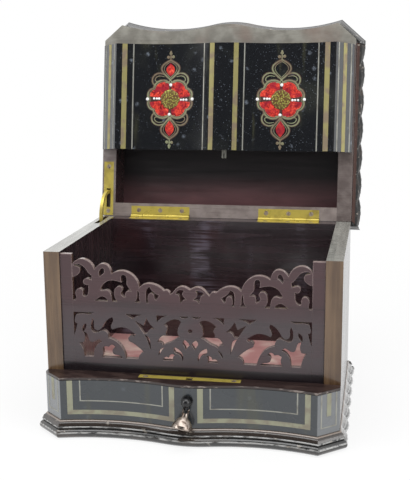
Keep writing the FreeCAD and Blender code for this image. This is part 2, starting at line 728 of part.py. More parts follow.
# Flap, built closed: it stands on the ledge and hangs from the front of the lid
flap_low = ledge_top + flap_gap
flap_high = wall_top + lid_gap - flap_gap
flap_front = slab(-flap_set_back, flap_low, flap_high, front).common(
    block(-half + flap_side_gap, half - flap_side_gap, front - bow, front - flap_gap / 2,
          flap_low, flap_high))
flap_leaves = []
lid_flap_leaves = []
flap_screws = []
lid_flap_screws = []
flap_pins = []
flap_recesses = []
front_recesses = []
flap_face = front - flap_gap / 2
flap_bore = flap_pin_radius + pin_clearance
for sign in (-1, 1):
    cx = sign * flap_hinge_x
    x0 = cx - flap_hinge_length / 2
    x1 = cx + flap_hinge_length / 2
    centre = vec(cx, front, lid_low)
    lid_plate = block(x0, x1, front, front + flap_leaf_width, lid_low, lid_low + flap_leaf_thick)
    flap_plate = block(x0, x1, flap_face - flap_leaf_thick, flap_face,
                       lid_low - flap_leaf_width, flap_high)
    seat = hinge_seat(centre, flap_hinge_length, flap_barrel_radius)
    lid_leaf = hinge_leaf(centre, flap_hinge_length, flap_leaf_width, flap_leaf_thick,
                          flap_barrel_radius, flap_bore, 1, True, 0, 3, 0)
    drop_leaf = hinge_leaf(centre, flap_hinge_length, flap_leaf_width, flap_leaf_thick,
                           flap_barrel_radius, flap_bore, 1, False, flap_gap / 2, 3, 1)
    drop_leaf = turned(drop_leaf, centre, -90)
    row_z = flap_high - flap_leaf_width * 0.62
    row_y = front + flap_leaf_width * 0.62
    spacing = flap_hinge_length * 0.36
    backs = screw_row(cx, spacing, row_y, lid_low, vec(0, 0, 1), (15, 80, 140))
    fronts = []
    for index, turn in enumerate((50, 110, 20)):
        point = vec(cx + (index - 1) * spacing, flap_face, row_z)
        fronts.append((screw(point, vec(0, -1, 0), 6.0), point, turn))
    lid_flap_leaves.append(less(lid_leaf, [item[0] for item in backs]))
    flap_leaves.append(less(drop_leaf, [item[0] for item in fronts]))
    for solid, point, turn in backs:
        lid_flap_screws.append(slotted(solid, point, vec(0, 0, 1), turn))
        front_recesses.append(solid)
    for solid, point, turn in fronts:
        flap_screws.append(slotted(solid, point, vec(0, -1, 0), turn))
        flap_recesses.append(solid)
    flap_pins.append(rod(flap_pin_radius, flap_hinge_length, vec(x0, front, lid_low), x_axis))
    front_recesses += [lid_plate, seat]
    flap_recesses += [flap_plate, seat]

keep("lid_rim_front", [less(rim_front, front_recesses)], lid_open)
keep("flap_hinge_pins", flap_pins, lid_open)
keep("flap_hinge_lid_leaves", lid_flap_leaves, lid_open)
keep("flap_hinge_lid_screws", lid_flap_screws, lid_open)

peg = block(-peg_size / 2, peg_size / 2, peg_y - peg_size / 2, peg_y + peg_size / 2,
            flap_low - peg_length, flap_low + 4)
peg_notch = block(-0.6, 0.6, peg_y - peg_size, peg_y + peg_size, flap_low - peg_length - 1,
                  flap_low - peg_length * 0.35)
keep("flap_panel", [less(flap_front, flap_recesses + [peg])], flap_folded)
keep("flap_peg", [peg.cut(peg_notch)], flap_folded)
keep("flap_hinge_leaves", flap_leaves, flap_folded)
keep("flap_hinge_screws", flap_screws, flap_folded)

# Drawer
drawer_low = plinth_height + drawer_gap
front_high = ledge_top - ledge_lip - drawer_gap
front_rear = front - drawer_gap
drawer_face = slab(0, drawer_low, front_high, front_rear)
notch = block(-block_half_length - drawer_gap, block_half_length + drawer_gap,
              front - block_depth - drawer_gap, front, block_bottom - drawer_gap, ledge_top)
pull_y = front - bow
ball_centre = vec(pull_x, pull_y - post_reach, pull_height)
pull_shank = rod(post_radius, post_reach + post_tail, ball_centre, vec(0, 1, 0))
box_low = drawer_low
box_high = floor_low - drawer_gap
side_x1 = inner - drawer_gap
side_x0 = side_x1 - drawer_side_thick
box_y0 = front_rear
box_y1 = back - wall - drawer_rear_gap
drawer_side = block(-side_x1, -side_x0, box_y0, box_y1, box_low, box_high)
drawer_back = block(-side_x0, side_x0, box_y1 - drawer_side_thick, box_y1, box_low, box_high)
bottom_z = box_low + 1.0
drawer_bottom = block(-side_x0, side_x0, box_y0, box_y1 - drawer_side_thick,
                      bottom_z, bottom_z + drawer_bottom_thick)
lining_z = bottom_z + drawer_bottom_thick
drawer_lining = block(-side_x0, side_x0, box_y0, box_y1 - drawer_side_thick,
                      lining_z, lining_z + lining_thick)
keep("drawer_front", [less(drawer_face, [notch, pull_shank])])
keep("drawer_side_left", [drawer_side])
keep("drawer_side_right", [mirrored(drawer_side)])
keep("drawer_back", [drawer_back])
keep("drawer_bottom", [drawer_bottom])
keep("drawer_lining", [drawer_lining])

# Drop pull: a ball-headed post with a bell-shaped drop that leans on the drawer front
rose = rod(rose_radius, rose_thick, vec(pull_x, pull_y - rose_thick, pull_height), vec(0, 1, 0))
ball = Part.makeSphere(ball_radius, ball_centre)
eye_drop = ball_radius + ear_radius + 0.6
eye_centre = ball_centre - vec(0, 0, eye_drop)
lean_axis = vec(math.cos(math.radians(drop_lean)), 0, -math.sin(math.radians(drop_lean)))
eye_pin = rod(eye_pin_radius, eye_pin_length, eye_centre - lean_axis * (eye_pin_length / 2), lean_axis)
lug = rod(eye_pin_radius + 0.2, eye_drop, eye_centre, vec(0, 0, 1))
keep("pull_rose", [less(rose, [pull_shank, ball])])
keep("pull_post", [join([pull_shank, ball, lug, eye_pin])])


def drop_bell():
    """Hollow bell on two ears, turned upright and then leaned and tilted on its pin."""
    top = -ear_radius - 0.8
    rim = -drop_length
    outer = [(drop_neck, top), (drop_neck + 0.6, top - 3.0), (drop_mouth * 0.62, rim * 0.52),
             (drop_mouth * 0.92, rim * 0.80), (drop_mouth, rim + 0.8), (drop_mouth - 0.5, rim)]
    inside = [(radius - drop_wall, z) for radius, z in reversed(outer[2:])]
    profile = [(0, top)] + outer + inside + [(0, rim * 0.45)]
    points = [vec(radius, 0, z) for radius, z in profile]
    face = Part.Face(Part.makePolygon(points + points[:1]))
    bell = face.revolve(vec(0, 0, 0), vec(0, 0, 1), 360)
    ears = []
    for sign in (-1, 1):
        x0 = sign * (ear_radius + 0.6) - ear_thick / 2
        ear = block(x0, x0 + ear_thick, -ear_radius, ear_radius, top - 0.6, 0)
        ear = ear.fuse(rod(ear_radius, ear_thick, vec(x0, 0, 0), x_axis))
        hole = rod(eye_pin_radius + pin_clearance, ear_thick + 1, vec(x0 - 0.5, 0, 0), x_axis)
        ears.append(ear.cut(hole))
    reach = ear_radius + 0.6 + ear_thick / 2
    yoke = block(-reach, reach, -ear_radius, ear_radius, top - 0.8, top + 0.2)
    whole = join([bell, yoke] + ears)
    whole.rotate(vec(0, 0, 0), x_axis, -drop_tilt)
    whole.rotate(vec(0, 0, 0), vec(0, 1, 0), drop_lean)
    whole.translate(eye_centre)
    return whole


keep("pull_drop", [drop_bell()])
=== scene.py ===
import json
import math
import random

import bmesh
import bpy
from mathutils import Matrix, Vector


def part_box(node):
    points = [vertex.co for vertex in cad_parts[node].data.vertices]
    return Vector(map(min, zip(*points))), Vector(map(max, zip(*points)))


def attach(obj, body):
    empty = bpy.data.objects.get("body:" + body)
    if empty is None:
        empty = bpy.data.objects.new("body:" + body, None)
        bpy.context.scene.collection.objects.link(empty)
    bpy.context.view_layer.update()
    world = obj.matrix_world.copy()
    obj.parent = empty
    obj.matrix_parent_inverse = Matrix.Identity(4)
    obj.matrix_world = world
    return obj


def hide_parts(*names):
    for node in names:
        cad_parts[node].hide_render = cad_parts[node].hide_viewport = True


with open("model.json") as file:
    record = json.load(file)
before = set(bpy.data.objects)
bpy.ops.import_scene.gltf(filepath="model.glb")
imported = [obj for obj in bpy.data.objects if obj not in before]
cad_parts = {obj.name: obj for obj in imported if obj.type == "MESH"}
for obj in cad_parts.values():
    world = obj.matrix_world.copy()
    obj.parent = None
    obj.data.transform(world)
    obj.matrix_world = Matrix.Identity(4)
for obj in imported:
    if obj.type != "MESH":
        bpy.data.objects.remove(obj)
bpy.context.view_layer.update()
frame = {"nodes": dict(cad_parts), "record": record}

# Lengths below are in millimetres and angles in degrees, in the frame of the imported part.
# The inlay and the carving are laid out on the closed box, then moved to where the open lid
# and the folded flap hold them.

MM = 0.001
RIGHT_WAY = (1, 0, 0)
FRONT_WAY = (0, -1, 0)
UP_WAY = (0, 0, 1)
random.seed(7)


def node_low(node):
    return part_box(node)[0] / MM


def node_high(node):
    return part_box(node)[1] / MM


# Sizes that the frame gives
HALF = node_high("side_wall_right").x
FRONT = node_low("side_wall_right").y
BACK = node_high("side_wall_right").y
WALL_TOP = node_high("side_wall_right").z
DRAWER_HIGH = node_high("drawer_front").z
BOW = FRONT - node_low("drawer_front").y

# Bowed front, as the part's source draws it
EDGE_THICK = 5.9
CORNER_X = 112.0
HOLLOW_X = 61.0
HOLLOW_DIP = 7.0
HOLLOW_RADIUS = ((CORNER_X - HOLLOW_X) ** 2 + HOLLOW_DIP ** 2) / (2 * HOLLOW_DIP)
BULGE_RADIUS = (HOLLOW_X ** 2 + HOLLOW_DIP ** 2) / (2 * HOLLOW_DIP) - HOLLOW_RADIUS
MEET_X = HOLLOW_X * BULGE_RADIUS / (BULGE_RADIUS + HOLLOW_RADIUS)

# Lid and flap
LID_GAP = 0.6
OPEN_ANGLE = 99.8
LEAN = math.radians(OPEN_ANGLE)
MOUTH_WAY = (0, -math.sin(LEAN), -math.cos(LEAN))
FLAP_SET_BACK = 1.1
FLAP_HIGH = WALL_TOP + 0.2
FLAP_LOW = 54.1
LID_HIGH = WALL_TOP + LID_GAP + 40.0
LID_OVERHANG = 9.0
PLINTH_OVERHANG = 7.0

# Inlay stands this proud and reaches this deep, so that it shows as its own metal
PROUD = 0.14
SUNK = 0.5
STRIP_STEP = 3.0
ARC_STEPS = 8
CURVE_STEPS = 5
BEAD_SIDES = 14


def about_x(centre, angle):
    turn = Matrix.Rotation(math.radians(angle), 4, "X")
    return Matrix.Translation(centre) @ turn @ Matrix.Translation(-centre)


TO_METRES = Matrix.Scale(MM, 4)
LID_HINGE = Vector((0, BACK, WALL_TOP + LID_GAP / 2))
FLAP_HINGE = Vector((0, FRONT, WALL_TOP + LID_GAP))
LID_PLACE = TO_METRES @ about_x(LID_HINGE, -OPEN_ANGLE)
FLAP_PLACE = LID_PLACE @ about_x(FLAP_HINGE, 90)
CASE_PLACE = TO_METRES


# Materials

class Nodes:
    """A material's node tree, with one short method for each node used here."""

    def __init__(self, name):
        self.material = bpy.data.materials.new(name)
        self.material.use_nodes = True
        self.tree = self.material.node_tree
        self.shader = self.tree.nodes["Principled BSDF"]
        self.coordinates = self.tree.nodes.new("ShaderNodeTexCoord")

    def link(self, source, target):
        self.tree.links.new(source, target)

    def noise(self, scale, detail=4.0, stretch=(1, 1, 1), distortion=0.0):
        mapping = self.tree.nodes.new("ShaderNodeMapping")
        mapping.inputs["Scale"].default_value = stretch
        self.link(self.coordinates.outputs["Object"], mapping.inputs["Vector"])
        node = self.tree.nodes.new("ShaderNodeTexNoise")
        node.inputs["Scale"].default_value = scale
        node.inputs["Detail"].default_value = detail
        node.inputs["Distortion"].default_value = distortion
        self.link(mapping.outputs["Vector"], node.inputs["Vector"])
        return node.outputs["Fac"]

    def cells(self, scale):
        """The distance to the nearest of points scattered at scale."""
        node = self.tree.nodes.new("ShaderNodeTexVoronoi")
        node.inputs["Scale"].default_value = scale
        self.link(self.coordinates.outputs["Object"], node.inputs["Vector"])
        return node.outputs["Distance"]

    def ramp(self, value, stops):
        node = self.tree.nodes.new("ShaderNodeValToRGB")
        elements = node.color_ramp.elements
        while len(elements) < len(stops):
            elements.new(0.5)
        for element, (position, colour) in zip(elements, stops):
            element.position = position
            element.color = (*colour, 1)
        self.link(value, node.inputs["Fac"])
        return node.outputs["Color"]

    def step(self, value, low, high):
        """0 below low and 1 above high, smooth between; swap them to turn it round."""
        node = self.tree.nodes.new("ShaderNodeMapRange")
        node.interpolation_type = "SMOOTHSTEP"
        node.inputs["From Min"].default_value = low
        node.inputs["From Max"].default_value = high
        self.link(value, node.inputs["Value"])
        return node.outputs["Result"]

    def span(self, value, low, high, out_low, out_high):
        """value from low to high becomes out_low to out_high, in a straight line."""
        node = self.tree.nodes.new("ShaderNodeMapRange")
        node.inputs["From Min"].default_value = low
        node.inputs["From Max"].default_value = high
        node.inputs["To Min"].default_value = out_low
        node.inputs["To Max"].default_value = out_high
        self.link(value, node.inputs["Value"])
        return node.outputs["Result"]

    def times(self, first, second):
        node = self.tree.nodes.new("ShaderNodeMath")
        node.operation = "MULTIPLY"
        self.link(first, node.inputs[0])
        if isinstance(second, (int, float)):
            node.inputs[1].default_value = second
        else:
            self.link(second, node.inputs[1])
        return node.outputs["Value"]

    def mix(self, factor, first, second):
        """Colour mix; first and second are sockets or plain colours."""
        node = self.tree.nodes.new("ShaderNodeMix")
        node.data_type = "RGBA"
        self.link(factor, node.inputs["Factor"])
        for socket, colour in ((node.inputs[6], first), (node.inputs[7], second)):
            if isinstance(colour, tuple):
                socket.default_value = (*colour, 1)
            else:
                self.link(colour, socket)
        return node.outputs[2]

    def slope(self, axis):
        """How far the surface at rest looks along axis, a unit vector, up to 1."""
        node = self.tree.nodes.new("ShaderNodeVectorMath")
        node.operation = "DOT_PRODUCT"
        self.link(self.coordinates.outputs["Normal"], node.inputs[0])
        node.inputs[1].default_value = axis
        return node.outputs["Value"]

    def facing(self, axis):
        """1 on faces that look along axis, 0 on the others."""
        return self.step(self.slope(axis), 0.6, 0.8)

    def along(self, axis):
        """The position at rest along axis, in metres."""
        node = self.tree.nodes.new("ShaderNodeVectorMath")
        node.operation = "DOT_PRODUCT"
        self.link(self.coordinates.outputs["Object"], node.inputs[0])
        node.inputs[1].default_value = axis
        return node.outputs["Value"]

    def height(self, start, end):
        """0 at start and 1 at end, two heights at rest in millimetres."""
        return self.step(self.along(UP_WAY), start * MM, end * MM)

    def maximum(self, first, second):
        node = self.tree.nodes.new("ShaderNodeMath")
        node.operation = "MAXIMUM"
        self.link(first, node.inputs[0])
        self.link(second, node.inputs[1])
        return node.outputs["Value"]

    def across_from(self, axis, near, far):
        """0 up to near metres from the middle along axis, 1 beyond far."""
        node = self.tree.nodes.new("ShaderNodeMath")
        node.operation = "ABSOLUTE"
        self.link(self.along(axis), node.inputs[0])
        return self.step(node.outputs["Value"], near, far)

    def distance(self):
        """How far the point is from the origin, in metres."""
        node = self.tree.nodes.new("ShaderNodeVectorMath")
        node.operation = "LENGTH"
        self.link(self.coordinates.outputs["Object"], node.inputs[0])
        return node.outputs["Value"]

    def edge(self, radius):
        """1 on an edge and 0 from about radius metres away from it, with the rounded normal."""
        rounded = self.tree.nodes.new("ShaderNodeBevel")
        rounded.samples = 6
        rounded.inputs["Radius"].default_value = radius
        plain = self.tree.nodes.new("ShaderNodeNewGeometry")
        node = self.tree.nodes.new("ShaderNodeVectorMath")
        node.operation = "DOT_PRODUCT"
        self.link(rounded.outputs["Normal"], node.inputs[0])
        self.link(plain.outputs["Normal"], node.inputs[1])
        return self.step(node.outputs["Value"], 0.998, 0.86), rounded.outputs["Normal"]

    def bump(self, height, strength, distance):
        node = self.tree.nodes.new("ShaderNodeBump")
        node.inputs["Strength"].default_value = strength
        node.inputs["Distance"].default_value = distance
        self.link(height, node.inputs["Height"])
        self.link(node.outputs["Normal"], self.shader.inputs["Normal"])

    def colour(self, source):
        self.link(source, self.shader.inputs["Base Color"])

    def colour_so_far(self):
        return self.shader.inputs["Base Color"].links[0].from_socket

    def rough(self, source):
        self.link(source, self.shader.inputs["Roughness"])


def gloss_black(name, base, haze, specks, shine, cant_reflection_share):
    """Ebonised and polished wood with dust and star-like pits, and a painted grey reflection on its
    canted corners.
    """
    nodes = Nodes(name)
    cloud = nodes.noise(22, 5, (1, 1, 1), 0.6)
    scratch = nodes.noise(900, 2, (0.05, 1, 1))
    patch = nodes.noise(38, 4)
    tone = nodes.mix(nodes.step(cloud, 0.50, 0.80), base, haze)
    streak = nodes.noise(60, 3, (1, 1, 0.12), 0.3)
    tone = nodes.mix(nodes.times(nodes.step(streak, 0.60, 0.74), 0.5), tone, (0.055, 0.055, 0.030))
    dust = nodes.times(nodes.step(nodes.cells(430), 0.22, 0.06), nodes.step(patch, 0.34, 0.74))
    stars = nodes.times(nodes.step(nodes.cells(95), 0.30, 0.02),
                        nodes.step(nodes.noise(55, 2), 0.50, 0.58))
    stars = nodes.times(stars, nodes.step(nodes.noise(800, 3), 0.30, 0.60))
    marks = nodes.times(nodes.maximum(dust, stars), specks)
    tone = nodes.mix(marks, tone, (0.26, 0.30, 0.36))
    # The grey on the canted corners is a painted reflection.
    cant_reflection_mask = nodes.across_from(RIGHT_WAY, (CORNER_X - 0.4) * MM, (CORNER_X + 0.4) * MM)
    tone = nodes.mix(nodes.times(cant_reflection_mask, cant_reflection_share), tone, (0.20, 0.21, 0.22))
    nodes.colour(tone)
    nodes.rough(nodes.span(cloud, 0.3, 0.75, shine, shine + 0.14))
    nodes.bump(scratch, 0.05, 0.0002)
    nodes.shader.inputs["Coat Weight"].default_value = 0.7
    nodes.shader.inputs["Coat Roughness"].default_value = 0.05
    return nodes.material


# Heights on the plinth's moulding: the two crests that get a painted highlight, and its top edge,
# pale with wear and a painted highlight
CRESTS = [(5.0, 6.0), (9.5, 10.3)]
CREST_BLUR = 0.3
HOLLOW_Z = (10.2, 11.6)
ARRIS_Z = (13.8, 14.7)
STRIP_REACH = (3.9, 2.7)


def moulding_black(name, plinth_highlights, coat=1.0, ior=1.5, red_strip=False):
    """Black polish on a moulding. On the plinth it paints highlights on the two crests and a pale
    top edge, worn and with a painted highlight; red_strip bares the wood next to the lid's mouth."""
    nodes = Nodes(name)
    wear = nodes.noise(55, 6, (0.35, 1, 1.6), 0.8)
    grain = nodes.noise(380, 4, (0.10, 1, 1))
    chips = nodes.noise(240, 4, (0.5, 1, 1))
    tone = nodes.ramp(wear, [(0.0, (0.006, 0.007, 0.007)), (0.52, (0.012, 0.012, 0.012)),
                             (0.68, (0.050, 0.038, 0.030)), (0.82, (0.16, 0.15, 0.13))])
    if plinth_highlights:
        hollow = nodes.height(*HOLLOW_Z)
        tone = nodes.mix(nodes.times(hollow, 0.75), tone, (0.034, 0.024, 0.019))
        glint = nodes.step(nodes.noise(420, 4, (0.22, 1, 0.8)), 0.36, 0.56)
        # Painted highlights along the two crests, broken up by the glint noise.
        for low, high in CRESTS:
            crest = nodes.times(nodes.height(low - CREST_BLUR, low),
                                nodes.height(high + CREST_BLUR, high))
            tone = nodes.mix(nodes.times(nodes.times(crest, glint), 0.85), tone, (0.42, 0.42, 0.41))
        # Pale top edge: worn wood under a painted highlight.
        tone = nodes.mix(nodes.times(nodes.height(*ARRIS_Z), 0.8), tone, (0.30, 0.24, 0.20))
    if red_strip:
        near = [(HALF + reach) * MM for reach in STRIP_REACH]
        bare = nodes.times(nodes.step(nodes.slope(MOUTH_WAY), 0.35, 0.6),
                           nodes.across_from(RIGHT_WAY, near[0], near[1]))
        tone = nodes.mix(bare, tone, (0.060, 0.026, 0.019))
    tone = nodes.mix(nodes.times(nodes.step(chips, 0.64, 0.72), 0.8), tone, (0.30, 0.27, 0.23))
    nodes.colour(tone)
    nodes.rough(nodes.span(wear, 0.3, 0.8, 0.10, 0.4))
    nodes.bump(nodes.maximum(grain, chips), 0.35, 0.0005)
    nodes.shader.inputs["Coat Weight"].default_value = coat
    nodes.shader.inputs["Coat Roughness"].default_value = 0.07
    nodes.shader.inputs["IOR"].default_value = ior
    return nodes.material


def old_brass(name, light, dark, shine, tarnish, metallic):
    """Yellow brass with tarnish in patches and fine scratches."""
    nodes = Nodes(name)
    cloud = nodes.noise(75, 5, (1, 1, 1), 0.4)
    scratch = nodes.noise(800, 3, (0.04, 1, 1))
    tone = nodes.mix(nodes.step(cloud, 0.44, 0.44 + tarnish * 0.6), light, dark)
    tone = nodes.mix(nodes.times(nodes.step(scratch, 0.55, 0.75), 0.4), tone, light)
    nodes.colour(tone)
    nodes.rough(nodes.span(cloud, 0.3, 0.8, shine, shine + 0.25))
    nodes.bump(scratch, 0.08, 0.0002)
    nodes.shader.inputs["Metallic"].default_value = metallic
    return nodes.material


def worn_wood(name, dark, light, across, scale, shine, coat, depth):
    """Straight-grained wood; across is small along the grain. Gives its nodes."""
    nodes = Nodes(name)
    grain = nodes.noise(scale, 6, across, 0.5)
    cloud = nodes.noise(24, 4)
    pores = nodes.noise(scale * 3, 2, across)
    tone = nodes.mix(nodes.step(grain, 0.35, 0.68), dark, light)
    deep = tuple(0.55 * part for part in dark)
    tone = nodes.mix(nodes.times(nodes.step(cloud, 0.48, 0.75), 0.55), tone, deep)
    tone = nodes.mix(nodes.times(nodes.step(pores, 0.60, 0.72), 0.5), tone, deep)
    nodes.colour(tone)
    nodes.rough(nodes.span(grain, 0.3, 0.7, shine, shine + 0.2))
    nodes.bump(grain, depth, 0.0003)
    nodes.shader.inputs["Coat Weight"].default_value = coat
    nodes.shader.inputs["Coat Roughness"].default_value = 0.2
    return nodes


def carcase_wood(name):
    """One wall: bare brown front edge, pale worn top, black outside, red-black inside."""
    nodes = worn_wood(name, (0.018, 0.011, 0.013), (0.034, 0.018, 0.021),
                      (1, 1, 0.05), 160, 0.16, 0.6, 0.08)
    inside = nodes.colour_so_far()
    fine = nodes.noise(300, 5, (1, 1, 0.05))
    cloud = nodes.noise(16, 3)
    edge = nodes.mix(nodes.step(fine, 0.35, 0.7), (0.078, 0.042, 0.020), (0.145, 0.086, 0.043))
    edge = nodes.mix(nodes.times(nodes.step(cloud, 0.45, 0.7), 0.5), edge, (0.17, 0.105, 0.056))
    long_grain = nodes.noise(300, 5, (1, 0.06, 1))
    top = nodes.mix(nodes.step(long_grain, 0.35, 0.7), (0.23, 0.23, 0.21), (0.34, 0.34, 0.31))
    tone = nodes.mix(nodes.facing(FRONT_WAY), inside, edge)
    tone = nodes.mix(nodes.facing(UP_WAY), tone, top)
    nodes.colour(tone)
    return nodes.material


def inner_polish(name):
    """Dark purple-black polish inside the compartment, with level streaks and pale lavender patches
    that are a painted reflection of the fret.
    """
    nodes = worn_wood(name, (0.016, 0.009, 0.012), (0.030, 0.015, 0.020),
                      (0.06, 1, 1), 210, 0.16, 0.8, 0.12)
    plain = nodes.colour_so_far()
    red = nodes.step(nodes.noise(20, 3), 0.48, 0.72)
    tone = nodes.mix(nodes.times(red, 0.6), plain, (0.042, 0.012, 0.014))
    # Pale lavender patches: a painted reflection of the fret.
    fret_reflection = nodes.times(nodes.step(nodes.noise(26, 3, (1, 1, 0.3)), 0.50, 0.72),
                       nodes.step(nodes.noise(420, 3, (0.08, 1, 1)), 0.38, 0.66))
    nodes.colour(nodes.mix(nodes.times(fret_reflection, 0.9), tone, (0.155, 0.140, 0.185)))
    return nodes.material


def lid_rim_wood(name, dark, light, patch):
    """Lid rims: worn grey-brown faces round the mouth, dark red polish inside the lid."""
    nodes = worn_wood(name, (0.022, 0.010, 0.011), (0.050, 0.020, 0.020),
                      (0.05, 1, 1), 170, 0.2, 0.5, 0.1)
    inside = nodes.colour_so_far()
    fine = nodes.noise(320, 5, (0.3, 1, 0.3))
    cloud = nodes.noise(26, 4)
    mouth = nodes.mix(nodes.step(fine, 0.3, 0.7), dark, light)
    mouth = nodes.mix(nodes.times(nodes.step(cloud, 0.48, 0.75), 0.6), mouth, patch)
    nicks = nodes.step(nodes.noise(520, 3, (0.4, 1, 1)), 0.68, 0.76)
    mouth = nodes.mix(nodes.times(nicks, 0.6), mouth, (0.06, 0.045, 0.04))
    nodes.colour(nodes.mix(nodes.facing(MOUTH_WAY), inside, mouth))
    return nodes.material


# Heights on the gallery, for its painted grey sheen lower down, its plum cresting and the painted
# shade at its foot, and how wide its pale edges are, rubbed and with a painted highlight
PAINTED_SHEEN_Z = (128, 96)
CRESTING_Z = (116, 126)
FOOT_SHADE_Z = (62.2, 60.4)
RUB_AND_HIGHLIGHT_WIDTH = 1.1


def fret_wood(name):
    """Polished fret: plum cresting with pale edges, rubbed and with a painted highlight; a painted
    grey sheen lower down; painted shade at the foot; tan sawn edges, paler on top with painted
    light.
    """
    nodes = worn_wood(name, (0.030, 0.010, 0.013), (0.050, 0.019, 0.023),
                      (0.05, 1, 1), 190, 0.2, 0.28, 0.08)
    face = nodes.colour_so_far()
    # Greyer lower down: a painted sheen.
    face = nodes.mix(nodes.times(nodes.height(*PAINTED_SHEEN_Z), 0.65), face, (0.056, 0.048, 0.053))
    red = nodes.times(nodes.step(nodes.noise(30, 3, (0.5, 1, 1)), 0.44, 0.66), 0.5)
    face = nodes.mix(red, face, (0.056, 0.018, 0.022))
    cresting = nodes.height(*CRESTING_Z)
    face = nodes.mix(nodes.times(cresting, 0.6), face, (0.060, 0.026, 0.030))
    # Pale edges: rubbed wear with a painted highlight.
    near_edge, rounded = nodes.edge(RUB_AND_HIGHLIGHT_WIDTH * MM)
    rub_and_highlight = nodes.times(near_edge, nodes.span(nodes.noise(160, 3), 0.3, 0.7, 0.35, 1.0))
    rub_and_highlight = nodes.times(rub_and_highlight, nodes.span(cresting, 0, 1, 0.15, 1.0))
    face = nodes.mix(rub_and_highlight, face, (0.38, 0.28, 0.27))
    # Near-black band at the foot: painted shade.
    face = nodes.mix(nodes.height(*FOOT_SHADE_Z), face, (0.010, 0.006, 0.008))
    sawn = nodes.noise(700, 3)
    edge = nodes.mix(nodes.step(sawn, 0.3, 0.7), (0.050, 0.024, 0.022), (0.14, 0.085, 0.060))
    # Up-facing sawn edges are paler: painted light from above.
    lit_top_sawn = nodes.mix(nodes.step(sawn, 0.3, 0.7), (0.22, 0.16, 0.15), (0.38, 0.31, 0.29))
    edge = nodes.mix(nodes.step(nodes.slope(UP_WAY), 0.15, 0.6), edge, lit_top_sawn)
    nodes.colour(nodes.mix(nodes.facing(FRONT_WAY), edge, face))
    bump = nodes.shader.inputs["Normal"].links[0].from_node
    nodes.link(rounded, bump.inputs["Normal"])
    return nodes.material


def ledge_wood(name):
    """Dark ledge with a pale, chipped front edge."""
    nodes = worn_wood(name, (0.020, 0.011, 0.010), (0.042, 0.024, 0.021),
                      (0.06, 1, 1), 230, 0.25, 0.4, 0.2)
    board = nodes.colour_so_far()
    rub = nodes.step(nodes.noise(120, 5, (0.5, 1, 1)), 0.50, 0.62)
    board = nodes.mix(nodes.times(rub, 0.35), board, (0.10, 0.065, 0.055))
    chips = nodes.step(nodes.noise(330, 4, (0.35, 1, 1)), 0.54, 0.66)
    edge = nodes.mix(chips, (0.030, 0.019, 0.017), (0.22, 0.18, 0.16))
    nodes.colour(nodes.mix(nodes.step(nodes.slope(UP_WAY), 0.7, 0.4), board, edge))
    return nodes.material


LID_RED_Z = (205, 172)


def lid_ceiling(name):
    """The lid's board: dark polish, on its inside redder towards the hinges."""
    nodes = worn_wood(name, (0.009, 0.006, 0.007), (0.012, 0.007, 0.009),
                      (0.05, 1, 1), 260, 0.3, 0.2, 0.02)
    plain = nodes.colour_so_far()
    low = nodes.times(nodes.height(*LID_RED_Z),
                      nodes.span(nodes.noise(90, 5, (0.25, 1, 1), 0.6), 0.3, 0.7, 0.55, 1.0))
    low = nodes.times(low, nodes.facing(MOUTH_WAY))
    nodes.colour(nodes.mix(low, plain, (0.150, 0.063, 0.068)))
    return nodes.material


def pink_paper(name):
    """Faded pink paper with cream patches where the colour has gone."""
    nodes = Nodes(name)
    fade = nodes.noise(34, 5, (1, 1, 1), 0.5)
    fibre = nodes.noise(900, 4)
    scales = nodes.cells(55)
    tone = nodes.ramp(fade, [(0.0, (0.30, 0.12, 0.12)), (0.42, (0.46, 0.22, 0.21)),
                             (0.56, (0.58, 0.38, 0.34)), (0.70, (0.74, 0.62, 0.50))])
    tone = nodes.mix(nodes.times(nodes.step(scales, 0.012, 0.004), 0.35), tone, (0.30, 0.09, 0.10))
    nodes.colour(tone)
    nodes.bump(fibre, 0.3, 0.0003)
    nodes.shader.inputs["Roughness"].default_value = 0.8
    return nodes.material


def red_shell(name):
    """Bright red inlay with dark mottling under gloss."""
    nodes = Nodes(name)
    flow = nodes.noise(330, 4, (1, 1, 1), 1.4)
    tone = nodes.ramp(flow, [(0.34, (0.10, 0.008, 0.008)), (0.46, (0.48, 0.028, 0.026)),
                             (0.62, (0.78, 0.065, 0.032)), (0.78, (0.90, 0.20, 0.15))])
    deep = nodes.step(nodes.noise(110, 2), 0.46, 0.62)
    tone = nodes.mix(nodes.times(deep, 0.75), tone, (0.26, 0.010, 0.030))
    nodes.colour(tone)
    nodes.bump(flow, 0.15, 0.0002)
    nodes.shader.inputs["Roughness"].default_value = 0.22
    nodes.shader.inputs["Coat Weight"].default_value = 0.6
    return nodes.material


def gilt(name):
    """Engraved boss: olive gold with dark red pits and green swirls."""
    nodes = Nodes(name)
    pits = nodes.cells(620)
    swirl = nodes.noise(330, 3, (1, 1, 1), 2.0)
    tone = nodes.mix(nodes.step(pits, 0.30, 0.48), (0.44, 0.42, 0.085), (0.13, 0.055, 0.020))
    tone = nodes.mix(nodes.times(nodes.step(swirl, 0.52, 0.60), 0.7), tone, (0.20, 0.22, 0.045))
    nodes.colour(tone)
    nodes.bump(pits, 0.6, 0.0004)
    nodes.shader.inputs["Metallic"].default_value = 0.35
    nodes.shader.inputs["Roughness"].default_value = 0.42
    return nodes.material


def pearl(name):
    """White studs with a soft lustre."""
    nodes = Nodes(name)
    lustre = nodes.noise(400, 3)
    nodes.colour(nodes.mix(lustre, (0.95, 0.93, 0.90), (0.85, 0.88, 0.92)))
    nodes.rough(nodes.span(lustre, 0.3, 0.7, 0.15, 0.3))
    nodes.shader.inputs["Coat Weight"].default_value = 0.5
    return nodes.material


